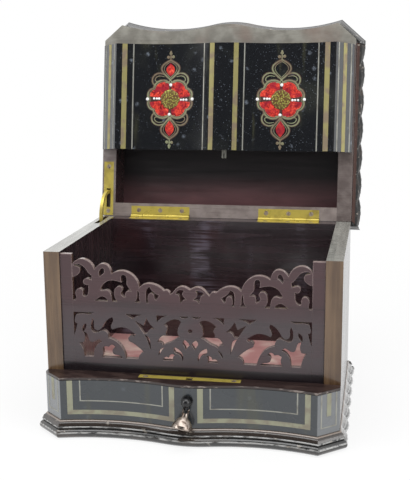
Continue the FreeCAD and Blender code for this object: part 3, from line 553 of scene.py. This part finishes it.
def worn_metal(name, light, dark, shine, metallic):
    """Smooth small fittings, clouded with tarnish."""
    nodes = Nodes(name)
    cloud = nodes.noise(260, 4, (1, 1, 1), 0.6)
    fine = nodes.noise(1500, 3)
    nodes.colour(nodes.mix(nodes.step(cloud, 0.42, 0.70), light, dark))
    nodes.rough(nodes.span(cloud, 0.3, 0.75, shine, shine + 0.25))
    nodes.bump(fine, 0.1, 0.0001)
    nodes.shader.inputs["Metallic"].default_value = metallic
    return nodes.material


# The last number sets how strong the painted reflection on the canted corners is.
FLAP_BLACK = gloss_black("flap_black", (0.008, 0.009, 0.011), (0.020, 0.022, 0.019),
                         0.70, 0.10, 0.27)
DRAWER_BLACK = gloss_black("drawer_black", (0.026, 0.032, 0.038), (0.040, 0.046, 0.050),
                           0.14, 0.2, 0.72)
MOULDING = moulding_black("moulding_black", True)
LID_MOULDING = moulding_black("lid_moulding_black", False)
LID_SIDE = moulding_black("lid_side_black", False, coat=0.15, ior=1.3, red_strip=True)
HINGE_BRASS = old_brass("hinge_brass", (0.62, 0.50, 0.105), (0.35, 0.27, 0.060), 0.25, 0.5, 0.45)
LINE_BRASS = old_brass("line_brass", (0.33, 0.295, 0.120), (0.24, 0.185, 0.125), 0.35, 0.3, 0.35)
DRAWER_BRASS = old_brass("drawer_brass", (0.30, 0.30, 0.215), (0.24, 0.215, 0.165),
                         0.35, 0.3, 0.35)
THIN_BRASS = old_brass("thin_brass", (0.33, 0.33, 0.29), (0.22, 0.21, 0.18), 0.35, 0.4, 0.35)
STRAP_BRASS = old_brass("strap_brass", (0.250, 0.265, 0.155), (0.185, 0.140, 0.090),
                        0.4, 0.25, 0.3)
CARCASE = carcase_wood("carcase_wood")
INNER = inner_polish("inner_polish")
RIM = lid_rim_wood("lid_rim_wood", (0.165, 0.135, 0.130), (0.250, 0.215, 0.205),
                   (0.115, 0.085, 0.080))
RIGHT_RIM = lid_rim_wood("right_rim_wood", (0.112, 0.088, 0.082), (0.175, 0.145, 0.135),
                         (0.080, 0.058, 0.054))
BACK_RIM = lid_rim_wood("back_rim_wood", (0.205, 0.168, 0.155), (0.285, 0.240, 0.222),
                        (0.150, 0.112, 0.104))
FRONT_RIM = lid_rim_wood("front_rim_wood", (0.200, 0.190, 0.165), (0.300, 0.290, 0.255),
                         (0.245, 0.180, 0.150))
FRET = fret_wood("fret_wood")
PAPER = pink_paper("pink_paper")
RED = red_shell("red_shell")
GILT = gilt("gilt_boss")
BROWN = worn_wood("brown_bed", (0.030, 0.017, 0.012), (0.075, 0.030, 0.022),
                  (1, 1, 1), 420, 0.3, 0.5, 0.1).material
PEARL = pearl("pearl")
BELL_METAL = worn_metal("bell_metal", (0.38, 0.325, 0.285), (0.11, 0.080, 0.062), 0.20, 1.0)
BALL_METAL = worn_metal("ball_metal", (0.010, 0.010, 0.011), (0.022, 0.022, 0.022), 0.06, 0.0)
SCREW_METAL = worn_metal("screw_metal", (0.40, 0.33, 0.26), (0.15, 0.10, 0.08), 0.35, 0.5)
LEDGE = ledge_wood("ledge_wood")
LID_BOARD = lid_ceiling("lid_board_wood")
PLAIN_WOOD = worn_wood("plain_wood", (0.060, 0.034, 0.022), (0.14, 0.085, 0.055),
                       (1, 0.06, 1), 240, 0.45, 0.1, 0.3).material

CAD_LOOKS = {
    "flap_panel": FLAP_BLACK,
    "drawer_front": DRAWER_BLACK,
    "plinth_moulding_front": MOULDING,
    "plinth_moulding_back": MOULDING,
    "plinth_core": MOULDING,
    "lid_moulding_front": LID_MOULDING,
    "lid_moulding_back": LID_MOULDING,
    "side_wall_left": CARCASE,
    "side_wall_right": CARCASE,
    "back_wall": INNER,
    "ledge": LEDGE,
    "lid_board": LID_BOARD,
    "lid_rim_front": FRONT_RIM,
    "lid_rim_back": BACK_RIM,
    "lid_rim_right": RIGHT_RIM,
    "floor_lining": PAPER,
    "drawer_lining": PAPER,
    "flap_peg": THIN_BRASS,
    "pull_drop": BELL_METAL,
    "pull_post": BALL_METAL,
    "pull_rose": BALL_METAL,
}
LOOKS_BY_SLOT = {
    "brass": HINGE_BRASS,
    "screw_steel": SCREW_METAL,
    "fret_wood": FRET,
    "lid_wood": RIM,
    "inner_wood": PLAIN_WOOD,
    "black_moulding": MOULDING,
}
NODE_SLOTS = {part["node"]: part["material_slot"] for part in frame["record"]["subparts"]}


def dress_nodes():
    for name, node in frame["nodes"].items():
        look = CAD_LOOKS.get(name) or LOOKS_BY_SLOT[NODE_SLOTS[name]]
        node.data.materials.clear()
        node.data.materials.append(look)


# Shapes on the bowed front

def front_spot(x, lift):
    """The bowed front at x, lifted outwards, as X and Y."""
    side = math.copysign(1, x)
    run = abs(x)
    if run <= MEET_X:
        centre = (0, FRONT - BOW + BULGE_RADIUS)
        y = centre[1] - math.sqrt(BULGE_RADIUS ** 2 - run ** 2)
        normal = (run / BULGE_RADIUS, (y - centre[1]) / BULGE_RADIUS)
    elif run <= CORNER_X:
        centre = (HOLLOW_X, FRONT - BOW + HOLLOW_DIP - HOLLOW_RADIUS)
        y = centre[1] + math.sqrt(HOLLOW_RADIUS ** 2 - (run - HOLLOW_X) ** 2)
        normal = ((HOLLOW_X - run) / HOLLOW_RADIUS, (centre[1] - y) / HOLLOW_RADIUS)
    else:
        rise = BOW - EDGE_THICK
        length = math.hypot(HALF - CORNER_X, rise)
        y = FRONT - BOW + (run - CORNER_X) * rise / (HALF - CORNER_X)
        normal = (rise / length, -(HALF - CORNER_X) / length)
    return side * (run + normal[0] * lift), y + normal[1] * lift


class Shape:
    """Closed bits gathered into one mesh, each point first mapped by spot(x, z, lift)."""

    def __init__(self, set_back=0.0):
        self.set_back = set_back
        self.points = []
        self.faces = []

    def spot(self, x, z, lift):
        px, py = front_spot(x, lift - self.set_back)
        return Vector((px, py, z))

    def loft(self, sections, closed):
        """Joins point rings of one length end to end; closed joins the last to the first."""
        start = len(self.points)
        size = len(sections[0])
        for section in sections:
            self.points.extend(section)
        count = len(sections)
        for row in range(count if closed else count - 1):
            here = start + row * size
            there = start + (row + 1) % count * size
            for index in range(size):
                after = (index + 1) % size
                self.faces.append((here + index, here + after, there + after, there + index))
        if not closed:
            self.faces.append(tuple(range(start + size - 1, start - 1, -1)))
            last = start + (count - 1) * size
            self.faces.append(tuple(range(last, last + size)))

    def strip(self, x0, x1, z0, z1):
        """An upright or level inlay band with straight sides."""
        steps = max(1, math.ceil((x1 - x0) / STRIP_STEP))
        sections = []
        for step in range(steps + 1):
            x = x0 + (x1 - x0) * step / steps
            sections.append([self.spot(x, z0, -SUNK), self.spot(x, z0, PROUD),
                             self.spot(x, z1, PROUD), self.spot(x, z1, -SUNK)])
        self.loft(sections, False)

    def ribbon(self, path, width, closed, proud, ends=1.0):
        """A strap of this width along path, a list of (x, z), narrowed at its ends."""
        sections = []
        count = len(path)
        for index, (x, z) in enumerate(path):
            before = path[index - 1] if closed or index else path[index]
            after = path[(index + 1) % count] if closed or index < count - 1 else path[index]
            dx = after[0] - before[0]
            dz = after[1] - before[1]
            length = math.hypot(dx, dz)
            taper = 1.0
            if not closed:
                near = min(index, count - 1 - index) / (count - 1) * 2
                taper = ends + (1 - ends) * min(1.0, near * 1.6)
            nx = -dz / length * width / 2 * taper
            nz = dx / length * width / 2 * taper
            shoulder = proud * 0.6
            sections.append([self.spot(x - nx, z - nz, -SUNK), self.spot(x - nx, z - nz, shoulder),
                             self.spot(x, z, proud), self.spot(x + nx, z + nz, shoulder),
                             self.spot(x + nx, z + nz, -SUNK)])
        self.loft(sections, closed)

    def patch(self, x, z, rim, rings, low, high):
        """A filled outline round (x, z), rising from low at its rim to high in the middle."""
        sections = [[self.spot(px, pz, -SUNK) for px, pz in rim]]
        for ring in range(rings):
            share = 1 - ring / rings
            lift = low + (high - low) * (1 - share ** 2)
            sections.append([self.spot(x + (px - x) * share, z + (pz - z) * share, lift)
                             for px, pz in rim])
        start = len(self.points)
        size = len(rim)
        for section in sections:
            self.points.extend(section)
        for row in range(rings):
            here = start + row * size
            for index in range(size):
                after = (index + 1) % size
                self.faces.append((here + index, here + after,
                                   here + size + after, here + size + index))
        top = len(self.points)
        self.points.append(self.spot(x, z, high))
        self.points.append(self.spot(x, z, -SUNK))
        last = start + rings * size
        for index in range(size):
            after = (index + 1) % size
            self.faces.append((last + index, last + after, top))
            self.faces.append((start + after, start + index, top + 1))

    def bead(self, x, z, radius, high):
        """A domed stud."""
        rim = [(x + radius * math.cos(turn), z + radius * math.sin(turn))
               for turn in turns(BEAD_SIDES)]
        self.patch(x, z, rim, 4, PROUD, high)

    def make(self, name, place, body, look, smooth=False):
        """The gathered bits as a piece that rides on body, once place has moved them."""
        mesh = bpy.data.meshes.new(name)
        mesh.from_pydata([place @ point for point in self.points], [], self.faces)
        mesh.materials.append(look)
        piece = bpy.data.objects.new(name, mesh)
        bpy.context.scene.collection.objects.link(piece)
        tidy_normals(mesh)
        for face in mesh.polygons:
            face.use_smooth = smooth
        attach(piece, body)
        return piece


def tidy_normals(mesh):
    work = bmesh.new()
    work.from_mesh(mesh)
    bmesh.ops.recalc_face_normals(work, faces=work.faces)
    work.to_mesh(mesh)
    work.free()


def turns(count):
    return [2 * math.pi * index / count for index in range(count)]


def arc(start, middle, end):
    """Points from start up to, and without, end along the circle through all three."""
    (ax, az), (bx, bz), (cx, cz) = start, middle, end
    d = 2 * (ax * (bz - cz) + bx * (cz - az) + cx * (az - bz))
    if abs(d) < 1e-6:
        return [(ax + (cx - ax) * i / ARC_STEPS, az + (cz - az) * i / ARC_STEPS)
                for i in range(ARC_STEPS)]
    a2, b2, c2 = ax * ax + az * az, bx * bx + bz * bz, cx * cx + cz * cz
    ux = (a2 * (bz - cz) + b2 * (cz - az) + c2 * (az - bz)) / d
    uz = (a2 * (cx - bx) + b2 * (ax - cx) + c2 * (bx - ax)) / d
    radius = math.hypot(ax - ux, az - uz)
    first = math.atan2(az - uz, ax - ux)
    mid = (math.atan2(bz - uz, bx - ux) - first) % (2 * math.pi)
    last = (math.atan2(cz - uz, cx - ux) - first) % (2 * math.pi)
    if mid > last:
        last -= 2 * math.pi
    return [(ux + radius * math.cos(first + last * i / ARC_STEPS),
             uz + radius * math.sin(first + last * i / ARC_STEPS)) for i in range(ARC_STEPS)]


# Flap inlay, laid out on the closed flap

FLAP_WIDE = [(100.5, 105.5), (10.0, 14.8)]
FLAP_THIN = [(93.6, 94.8), (20.2, 21.3)]
CANT_WIDE = (119.4, 122.8)
CANT_THIN = [(114.6, 115.6), (126.4, 127.4)]
CARTOUCHE_X = [-55.9, 57.8]
CARTOUCHE_Z = 105.5


def flap_lines():
    wide = Shape(FLAP_SET_BACK)
    thin = Shape(FLAP_SET_BACK)
    for side in (-1, 1):
        for x0, x1 in FLAP_WIDE + [CANT_WIDE]:
            low, high = sorted((side * x0, side * x1))
            wide.strip(low, high, FLAP_LOW + 0.1, FLAP_HIGH - 0.1)
        for x0, x1 in FLAP_THIN + CANT_THIN:
            low, high = sorted((side * x0, side * x1))
            thin.strip(low, high, FLAP_LOW + 0.1, FLAP_HIGH - 0.1)
    wide.make("flap_wide_lines", FLAP_PLACE, "flap", LINE_BRASS)
    thin.make("flap_thin_lines", FLAP_PLACE, "flap", THIN_BRASS)


# Cartouche, as (x, z) from its middle: a quarter of the ring, the right half of each drop and
# the upper right scroll

RING_CUSPS = [(21.6, 0.0), (17.4, 10.9), (0.0, 15.6)]
RING_TIPS = [(22.8, 6.2), (11.6, 18.4)]
UPPER_DROP = [(0, 19.9), (2.6, 22.0), (6.2, 25.4), (8.6, 28.6), (9.2, 31.4), (8.0, 34.4),
              (4.6, 37.2), (0, 39.6)]
LOWER_DROP = [(0, 18.2), (2.3, 21.0), (5.6, 24.8), (8.2, 28.2), (8.9, 31.2), (7.8, 34.4),
              (4.4, 37.6), (0, 40.6)]
UPPER_TEAR = [(0, 23.2), (2.6, 25.6), (4.3, 29.0), (4.0, 32.0), (2.3, 34.4), (0, 36.6)]
LOWER_TEAR = [(0, 21.4), (2.4, 24.4), (4.3, 28.4), (4.2, 31.8), (2.4, 35.0), (0, 37.6)]
SCROLL = [(7.0, 25.4), (11.0, 26.4), (15.0, 25.4), (18.0, 22.4), (18.7, 18.6), (17.6, 15.6),
          (15.2, 13.6)]
SCROLL_INNER = [(6.4, 22.8), (10.6, 23.6), (14.0, 22.8), (15.8, 20.4), (14.8, 18.2), (11.6, 18.6)]
CROSSING = [(1.6, 21.4), (0, 19.2), (-2.4, 17.4), (-5.2, 16.6)]
FINIAL_BEADS = [(0, 6.8, 1.6), (2.5, 3.4, 1.6), (-2.5, 3.0, 1.6), (0, 8.6, 1.0)]
LONE_PEARLS = [(-23.4, 0, 1.65), (23.2, 0, 1.6), (0.4, 14.5, 1.6), (-0.6, -15.4, 1.55)]
ROW_PEARLS = [-16.6, -13.8, -11.4, 11.4, 14.0, 17.0]
TEAR_MIDDLE = 30.2
DROP_MIDDLE = 30.6
QUADRANT_MIDDLE = (10.9, 9.6)
BOSS_RADIUS = 9.6
BOSS_TALLER = 1.03

# How wide the straps are and how far they and the fields under them stand out
RING_WIDTH = 1.5
LOOP_WIDTH = 1.3
BED_MARGIN = 1.5
BED_LIFT = 0.07
STRAP_LIFT = 0.22
CROSSING_LIFT = 0.24
INNER_LIFT = 0.18
RED_LIFT = (0.08, 0.18)
BOSS_LIFT = (0.35, 0.80)
PEARL_LIFT = 0.95
BEAD_LIFT = 0.32


def ring_path(share=1.0):
    """Scalloped ring of eight lobes, from its first quarter."""
    cusps = list(RING_CUSPS)
    tips = list(RING_TIPS)
    cusps += [(-x, z) for x, z in reversed(cusps[:-1])]
    tips += [(-x, z) for x, z in reversed(tips)]
    cusps += [(x, -z) for x, z in reversed(cusps[1:-1])]
    tips += [(x, -z) for x, z in reversed(tips)]
    path = []
    for index, tip in enumerate(tips):
        path += arc(cusps[index], tip, cusps[(index + 1) % len(cusps)])
    return [(x * share, z * share) for x, z in path]


def smooth(points):
    """A curve through the points, from the first to the last."""
    path = []
    for index in range(len(points) - 1):
        a = points[max(index - 1, 0)]
        b, c = points[index], points[index + 1]
        d = points[min(index + 2, len(points) - 1)]
        for step in range(CURVE_STEPS):
            t = step / CURVE_STEPS
            path.append(tuple(0.5 * (2 * q + (r - p) * t + (2 * p - 5 * q + 4 * r - w) * t * t
                                     + (3 * q - p - 3 * r + w) * t ** 3)
                              for p, q, r, w in zip(a, b, c, d)))
    return path + [points[-1]]


def both_sides(points):
    """Closed outline whose right half goes from its foot to its tip."""
    right = smooth(points)
    return right + [(-x, z) for x, z in reversed(right[1:-1])]


def quadrant(side, up):
    """One red field between the boss and the ring, with a scalloped outer edge."""
    edge = [(x, z) for x, z in ring_path(0.91) if x > 1.5 and z > 1.7]
    inner = []
    first = math.atan2(edge[-1][1], edge[-1][0])
    last = math.atan2(edge[0][1], edge[0][0])
    for step in range(ARC_STEPS + 1):
        turn = first + (last - first) * step / ARC_STEPS
        inner.append((9.4 * math.cos(turn), 9.6 * math.sin(turn)))
    return [(side * x, up * z) for x, z in edge + inner]


def cartouche(side_word, centre_x, has_top_red):
    """One inlaid cartouche; the upper drop is empty where has_top_red is false."""
    def moved(path, up=1):
        return [(centre_x + x, CARTOUCHE_Z + up * z) for x, z in path]

    bed = Shape(FLAP_SET_BACK)
    strap = Shape(FLAP_SET_BACK)

    def lace(path, width, closed, ends=1.0):
        bed.ribbon(path, width + BED_MARGIN, closed, BED_LIFT, ends)
        strap.ribbon(path, width, closed, STRAP_LIFT, ends)

    def mirrored(points, side, up):
        return moved([(side * x, z) for x, z in smooth(points)], up)

    bed.patch(centre_x, CARTOUCHE_Z, moved(ring_path()), 5, 0.02, 0.05)
    lace(moved(ring_path()), RING_WIDTH, True)
    strap.ribbon(moved(ring_path(0.92)), 0.5, True, 0.12)
    for up in (1, -1):
        for side in (1, -1):
            lace(mirrored(SCROLL, side, up), LOOP_WIDTH, False, 0.7)
            strap.ribbon(mirrored(SCROLL_INNER, side, up), 0.9, False, INNER_LIFT, 0.5)
            strap.ribbon(mirrored(CROSSING, side, up), 1.0, False, CROSSING_LIFT, 0.6)
    for path, up in ((UPPER_DROP, 1), (LOWER_DROP, -1)):
        outline = both_sides(path)
        lace(moved(outline, up), LOOP_WIDTH, True)
        inner = [(x * 0.72, DROP_MIDDLE + (z - DROP_MIDDLE) * 0.80) for x, z in outline]
        strap.ribbon(moved(inner, up), 0.6, True, 0.16)
        tip = path[-1][1]
        stem = [(0, tip), (0.1, tip + 3), (0, tip + 6)]
        strap.ribbon(moved(stem, up), 1.5, False, STRAP_LIFT, 0.6)
        for dx, dz, radius in FINIAL_BEADS:
            strap.bead(centre_x + dx, CARTOUCHE_Z + up * (tip + dz), radius, BEAD_LIFT)
    bed.make(f"cartouche_bed_{side_word}", FLAP_PLACE, "flap", BROWN)
    strap.make(f"cartouche_strap_{side_word}", FLAP_PLACE, "flap", STRAP_BRASS)

    red = Shape(FLAP_SET_BACK)
    for side, up in ((1, 1), (-1, 1), (-1, -1), (1, -1)):
        red.patch(centre_x + side * QUADRANT_MIDDLE[0], CARTOUCHE_Z + up * QUADRANT_MIDDLE[1],
                  moved(quadrant(side, up)), 5, *RED_LIFT)
    tears = [(UPPER_TEAR, 1), (LOWER_TEAR, -1)] if has_top_red else [(LOWER_TEAR, -1)]
    for path, up in tears:
        red.patch(centre_x, CARTOUCHE_Z + up * TEAR_MIDDLE, moved(both_sides(path), up), 3,
                  *RED_LIFT)
    red.make(f"cartouche_red_{side_word}", FLAP_PLACE, "flap", RED)

    boss = Shape(FLAP_SET_BACK)
    rim = []
    for turn in turns(72):
        reach = BOSS_RADIUS + 0.2 * math.cos(4 * turn)
        reach += 0.25 * math.cos(9 * turn) + 0.2 * math.cos(23 * turn)
        rim.append((centre_x + reach * math.cos(turn),
                    CARTOUCHE_Z + BOSS_TALLER * reach * math.sin(turn)))
    boss.patch(centre_x, CARTOUCHE_Z, rim, 6, *BOSS_LIFT)
    boss.make(f"cartouche_boss_{side_word}", FLAP_PLACE, "flap", GILT, True)

    pearls = Shape(FLAP_SET_BACK)
    spots = list(LONE_PEARLS)
    for reach in ROW_PEARLS:
        spots.append((reach, -math.copysign(0.6, reach), 1.15 + 0.25 * random.random()))
    for dx, dz, radius in spots:
        pearls.bead(centre_x + dx, CARTOUCHE_Z + dz, radius, PEARL_LIFT)
    pearls.make(f"cartouche_pearls_{side_word}", FLAP_PLACE, "flap", PEARL, True)


# Drawer inlay

BAND = (20.2, 24.2)
BAND_X = (10.0, 106.3)
BAND_WIDTH = 4.8
LINE_Z = (32.2, 33.1)
LINE_X = (20.4, 95.6)
LINE_WIDTH = 1.1
CANT_FOOT = (21.0, 22.0)
CANT_BAND_LOW = 31.0


def drawer_lines():
    band = Shape()
    line = Shape()
    top = DRAWER_HIGH - 0.05
    for side in (-1, 1):
        def both(shape, x0, x1, z0, z1):
            low, high = sorted((side * x0, side * x1))
            shape.strip(low, high, z0, z1)

        both(band, *BAND_X, *BAND)
        both(band, BAND_X[0], BAND_X[0] + BAND_WIDTH, BAND[1], top)
        both(band, BAND_X[1] - BAND_WIDTH, BAND_X[1], BAND[1], top)
        both(line, *LINE_X, *LINE_Z)
        both(line, LINE_X[0], LINE_X[0] + LINE_WIDTH, LINE_Z[1], top)
        both(line, LINE_X[1] - LINE_WIDTH, LINE_X[1], LINE_Z[1], top)
        for x0, x1 in CANT_THIN:
            both(line, x0, x1, CANT_FOOT[1], top)
        both(line, CANT_THIN[0][0], CANT_THIN[1][1], *CANT_FOOT)
        both(band, *CANT_WIDE, CANT_BAND_LOW, top)
    band.make("drawer_wide_lines", CASE_PLACE, "drawer", DRAWER_BRASS)
    line.make("drawer_thin_lines", CASE_PLACE, "drawer", THIN_BRASS)


# Carved side mouldings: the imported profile, swelled and pinched along its length

WAVE = 28.6
PINCH = 3.0
SLANT = 1.1
SWELL_POWER = 0.55
RIPPLE = 0.35
RIPPLES_PER_WAVE = 4
RIPPLE_SLANT = 0.11
LEAST_PROUD = 0.25
STATIONS = 150
LID_PROFILE = [(0.6, 0.0), (1.2, 0.9), (3.8, 2.2), (5.9, 4.4), (6.9, 7.2), (7.4, 8.2), (8.5, 9.6),
               (9.0, 11.6), (8.5, 13.6), (7.0, 15.0), (4.5, 16.0)]
PLINTH_PROFILE = [(3.7, 0.0), (3.7, 0.3), (5.3, 0.9), (6.5, 2.2), (7.0, 4.2), (6.6, 6.0),
                  (5.6, 7.4), (3.7, 8.1), (4.4, 9.0), (4.8, 9.8), (4.4, 10.6), (3.9, 11.0),
                  (3.0, 12.0), (2.2, 13.2), (1.8, 14.0), (1.0, 15.0)]


def carved(name, profile, overhang, base, side, place, body, node, look):
    """One side length in place of node, from the canted corner to the mitre at the back."""
    shape = Shape()
    front_y = FRONT - EDGE_THICK
    sections = []
    for station in range(STATIONS + 1):
        share = station / STATIONS
        ring = []
        for offset, z in profile:
            y = front_y + (BACK + offset - front_y) * share
            phase = (y - front_y) / WAVE + SLANT * z / WAVE
            lobe = abs(math.sin(math.pi * phase)) ** SWELL_POWER
            ripple_phase = phase * RIPPLES_PER_WAVE + z * RIPPLE_SLANT
            ripple = 0.5 + 0.5 * math.cos(2 * math.pi * ripple_phase)
            proud = min(1.0, max(0.0, offset / overhang))
            cut = PINCH * (1 - lobe) * proud + RIPPLE * ripple * proud
            ring.append(Vector((side * (HALF + max(LEAST_PROUD, offset - cut)), y, base + z)))
        low = profile[0][1]
        high = profile[-1][1]
        ring.append(Vector((side * HALF, front_y + (BACK - front_y) * share, base + high)))
        ring.append(Vector((side * HALF, front_y + (BACK - front_y) * share, base + low)))
        sections.append(ring)
    shape.loft(sections, False)
    piece = shape.make(name, place, body, look, True)
    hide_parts(node)


def carved_sides():
    for side, word in ((-1, "left"), (1, "right")):
        carved(f"carved_lid_side_{word}", LID_PROFILE, LID_OVERHANG, LID_HIGH - LID_PROFILE[-1][1],
               side, LID_PLACE, "lid", f"lid_moulding_{word}", LID_SIDE)
        carved(f"carved_plinth_side_{word}", PLINTH_PROFILE, PLINTH_OVERHANG, 0.0,
               side, CASE_PLACE, "case", f"plinth_moulding_{word}", MOULDING)


# Studio, in metres and watts

FLOOR_HALF = 3.0
GLOW_NEAR = 0.15
GLOW_FAR = 0.75
GLOW_LEAST = 0.82
ROOM_LIGHT = 0.55
ROOM_SEEN = 1.0
FLAG_X = (-1.3, 1.0)
FLAG_FOOT = (-1.5, 0.22)
FLAG_TOP = (-1.2, 2.6)
LAMPS = [
    ("top_light", (0.1, -0.25, 1.5), (0, 0, 0.1), (1.6, 1.2), 14),
    ("left_light", (-1.3, -0.9, 1.0), (0, 0, 0.15), (0.9, 1.1), 9),
    ("right_light", (1.4, -0.7, 0.8), (0, 0, 0.15), (0.9, 1.1), 8),
]


def backdrop_material():
    """A pale floor that keeps the object's shadow near it and is white further out."""
    nodes = Nodes("white_floor")
    tree = nodes.tree
    nodes.shader.inputs["Base Color"].default_value = (0.9, 0.9, 0.9, 1)
    nodes.shader.inputs["Roughness"].default_value = 0.7
    glow = tree.nodes.new("ShaderNodeEmission")
    glow.inputs["Strength"].default_value = 1.0
    path = tree.nodes.new("ShaderNodeLightPath")
    share = tree.nodes.new("ShaderNodeMath")
    share.operation = "MAXIMUM"
    nodes.link(path.outputs["Is Camera Ray"], share.inputs[0])
    nodes.link(path.outputs["Is Glossy Ray"], share.inputs[1])
    most = tree.nodes.new("ShaderNodeMath")
    most.operation = "MULTIPLY"
    nodes.link(share.outputs[0], most.inputs[0])
    nodes.link(nodes.span(nodes.distance(), GLOW_NEAR, GLOW_FAR, GLOW_LEAST, 1.0), most.inputs[1])
    mixer = tree.nodes.new("ShaderNodeMixShader")
    nodes.link(most.outputs[0], mixer.inputs["Fac"])
    nodes.link(nodes.shader.outputs["BSDF"], mixer.inputs[1])
    nodes.link(glow.outputs["Emission"], mixer.inputs[2])
    nodes.link(mixer.outputs["Shader"], tree.nodes["Material Output"].inputs["Surface"])
    return nodes.material


def flat(name, corners, look):
    mesh = bpy.data.meshes.new(name)
    mesh.from_pydata(corners, [], [tuple(range(len(corners)))])
    mesh.materials.append(look)
    piece = bpy.data.objects.new(name, mesh)
    bpy.context.scene.collection.objects.link(piece)
    return piece


def area_light(name, place, target, size, watts):
    lamp = bpy.data.lights.new(name, "AREA")
    lamp.shape = "RECTANGLE"
    lamp.size, lamp.size_y = size
    lamp.energy = watts
    holder = bpy.data.objects.new(name, lamp)
    holder.location = place
    aim = Vector(target) - Vector(place)
    holder.rotation_euler = aim.to_track_quat("-Z", "Y").to_euler()
    bpy.context.scene.collection.objects.link(holder)


def studio():
    flat("floor", [(-FLOOR_HALF, -FLOOR_HALF, 0), (FLOOR_HALF, -FLOOR_HALF, 0),
                   (FLOOR_HALF, FLOOR_HALF, 0), (-FLOOR_HALF, FLOOR_HALF, 0)],
         backdrop_material())
    flag_look = Nodes("dark_flag")
    flag_look.colour(flag_look.mix(flag_look.noise(4), (0.02, 0.02, 0.022), (0.03, 0.03, 0.032)))
    flag = flat("dark_flag", [(FLAG_X[0], *FLAG_FOOT), (FLAG_X[1], *FLAG_FOOT),
                              (FLAG_X[1], *FLAG_TOP), (FLAG_X[0], *FLAG_TOP)],
                flag_look.material)
    flag.visible_camera = False
    flag.visible_diffuse = False
    flag.visible_shadow = False
    for lamp in LAMPS:
        area_light(*lamp)
    world = bpy.data.worlds.new("studio_white")
    bpy.context.scene.world = world
    world.use_nodes = True
    tree = world.node_tree
    back = tree.nodes["Background"]
    path = tree.nodes.new("ShaderNodeLightPath")
    share = tree.nodes.new("ShaderNodeMath")
    share.operation = "MAXIMUM"
    tree.links.new(path.outputs["Is Camera Ray"], share.inputs[0])
    tree.links.new(path.outputs["Is Glossy Ray"], share.inputs[1])
    level = tree.nodes.new("ShaderNodeMapRange")
    level.inputs["To Min"].default_value = ROOM_LIGHT
    level.inputs["To Max"].default_value = ROOM_SEEN
    tree.links.new(share.outputs[0], level.inputs["Value"])
    back.inputs["Color"].default_value = (1, 1, 1, 1)
    tree.links.new(level.outputs["Result"], back.inputs["Strength"])
    bpy.context.scene.view_settings.view_transform = "Standard"


CAMERA_PLACE = Vector((156.68, -844.70, 336.56))
CAMERA_PITCH = 11.79
CAMERA_YAW = 10.47
CAMERA_ROLL = -0.44
CAMERA_LENS = 69.99
CAMERA_SHIFT = -0.0073


def camera():
    pitch, yaw, roll = (math.radians(v) for v in (CAMERA_PITCH, CAMERA_YAW, CAMERA_ROLL))
    forward = Vector((-math.sin(yaw) * math.cos(pitch), math.cos(yaw) * math.cos(pitch),
                      -math.sin(pitch)))
    level = Vector((math.cos(yaw), math.sin(yaw), 0))
    above = level.cross(forward)
    right = level * math.cos(roll) + above * math.sin(roll)
    up = above * math.cos(roll) - level * math.sin(roll)
    lens = bpy.data.cameras.new("camera")
    lens.sensor_fit = "VERTICAL"
    lens.sensor_height = 36.0
    lens.lens = CAMERA_LENS
    lens.shift_x = CAMERA_SHIFT
    holder = bpy.data.objects.new("camera", lens)
    turn = Matrix((right, up, -forward)).transposed().to_4x4()
    holder.matrix_world = Matrix.Translation(CAMERA_PLACE * MM) @ turn
    bpy.context.scene.collection.objects.link(holder)
    bpy.context.scene.camera = holder


dress_nodes()
flap_lines()
cartouche("left", CARTOUCHE_X[0], True)
cartouche("right", CARTOUCHE_X[1], False)
drawer_lines()
carved_sides()
studio()
camera()
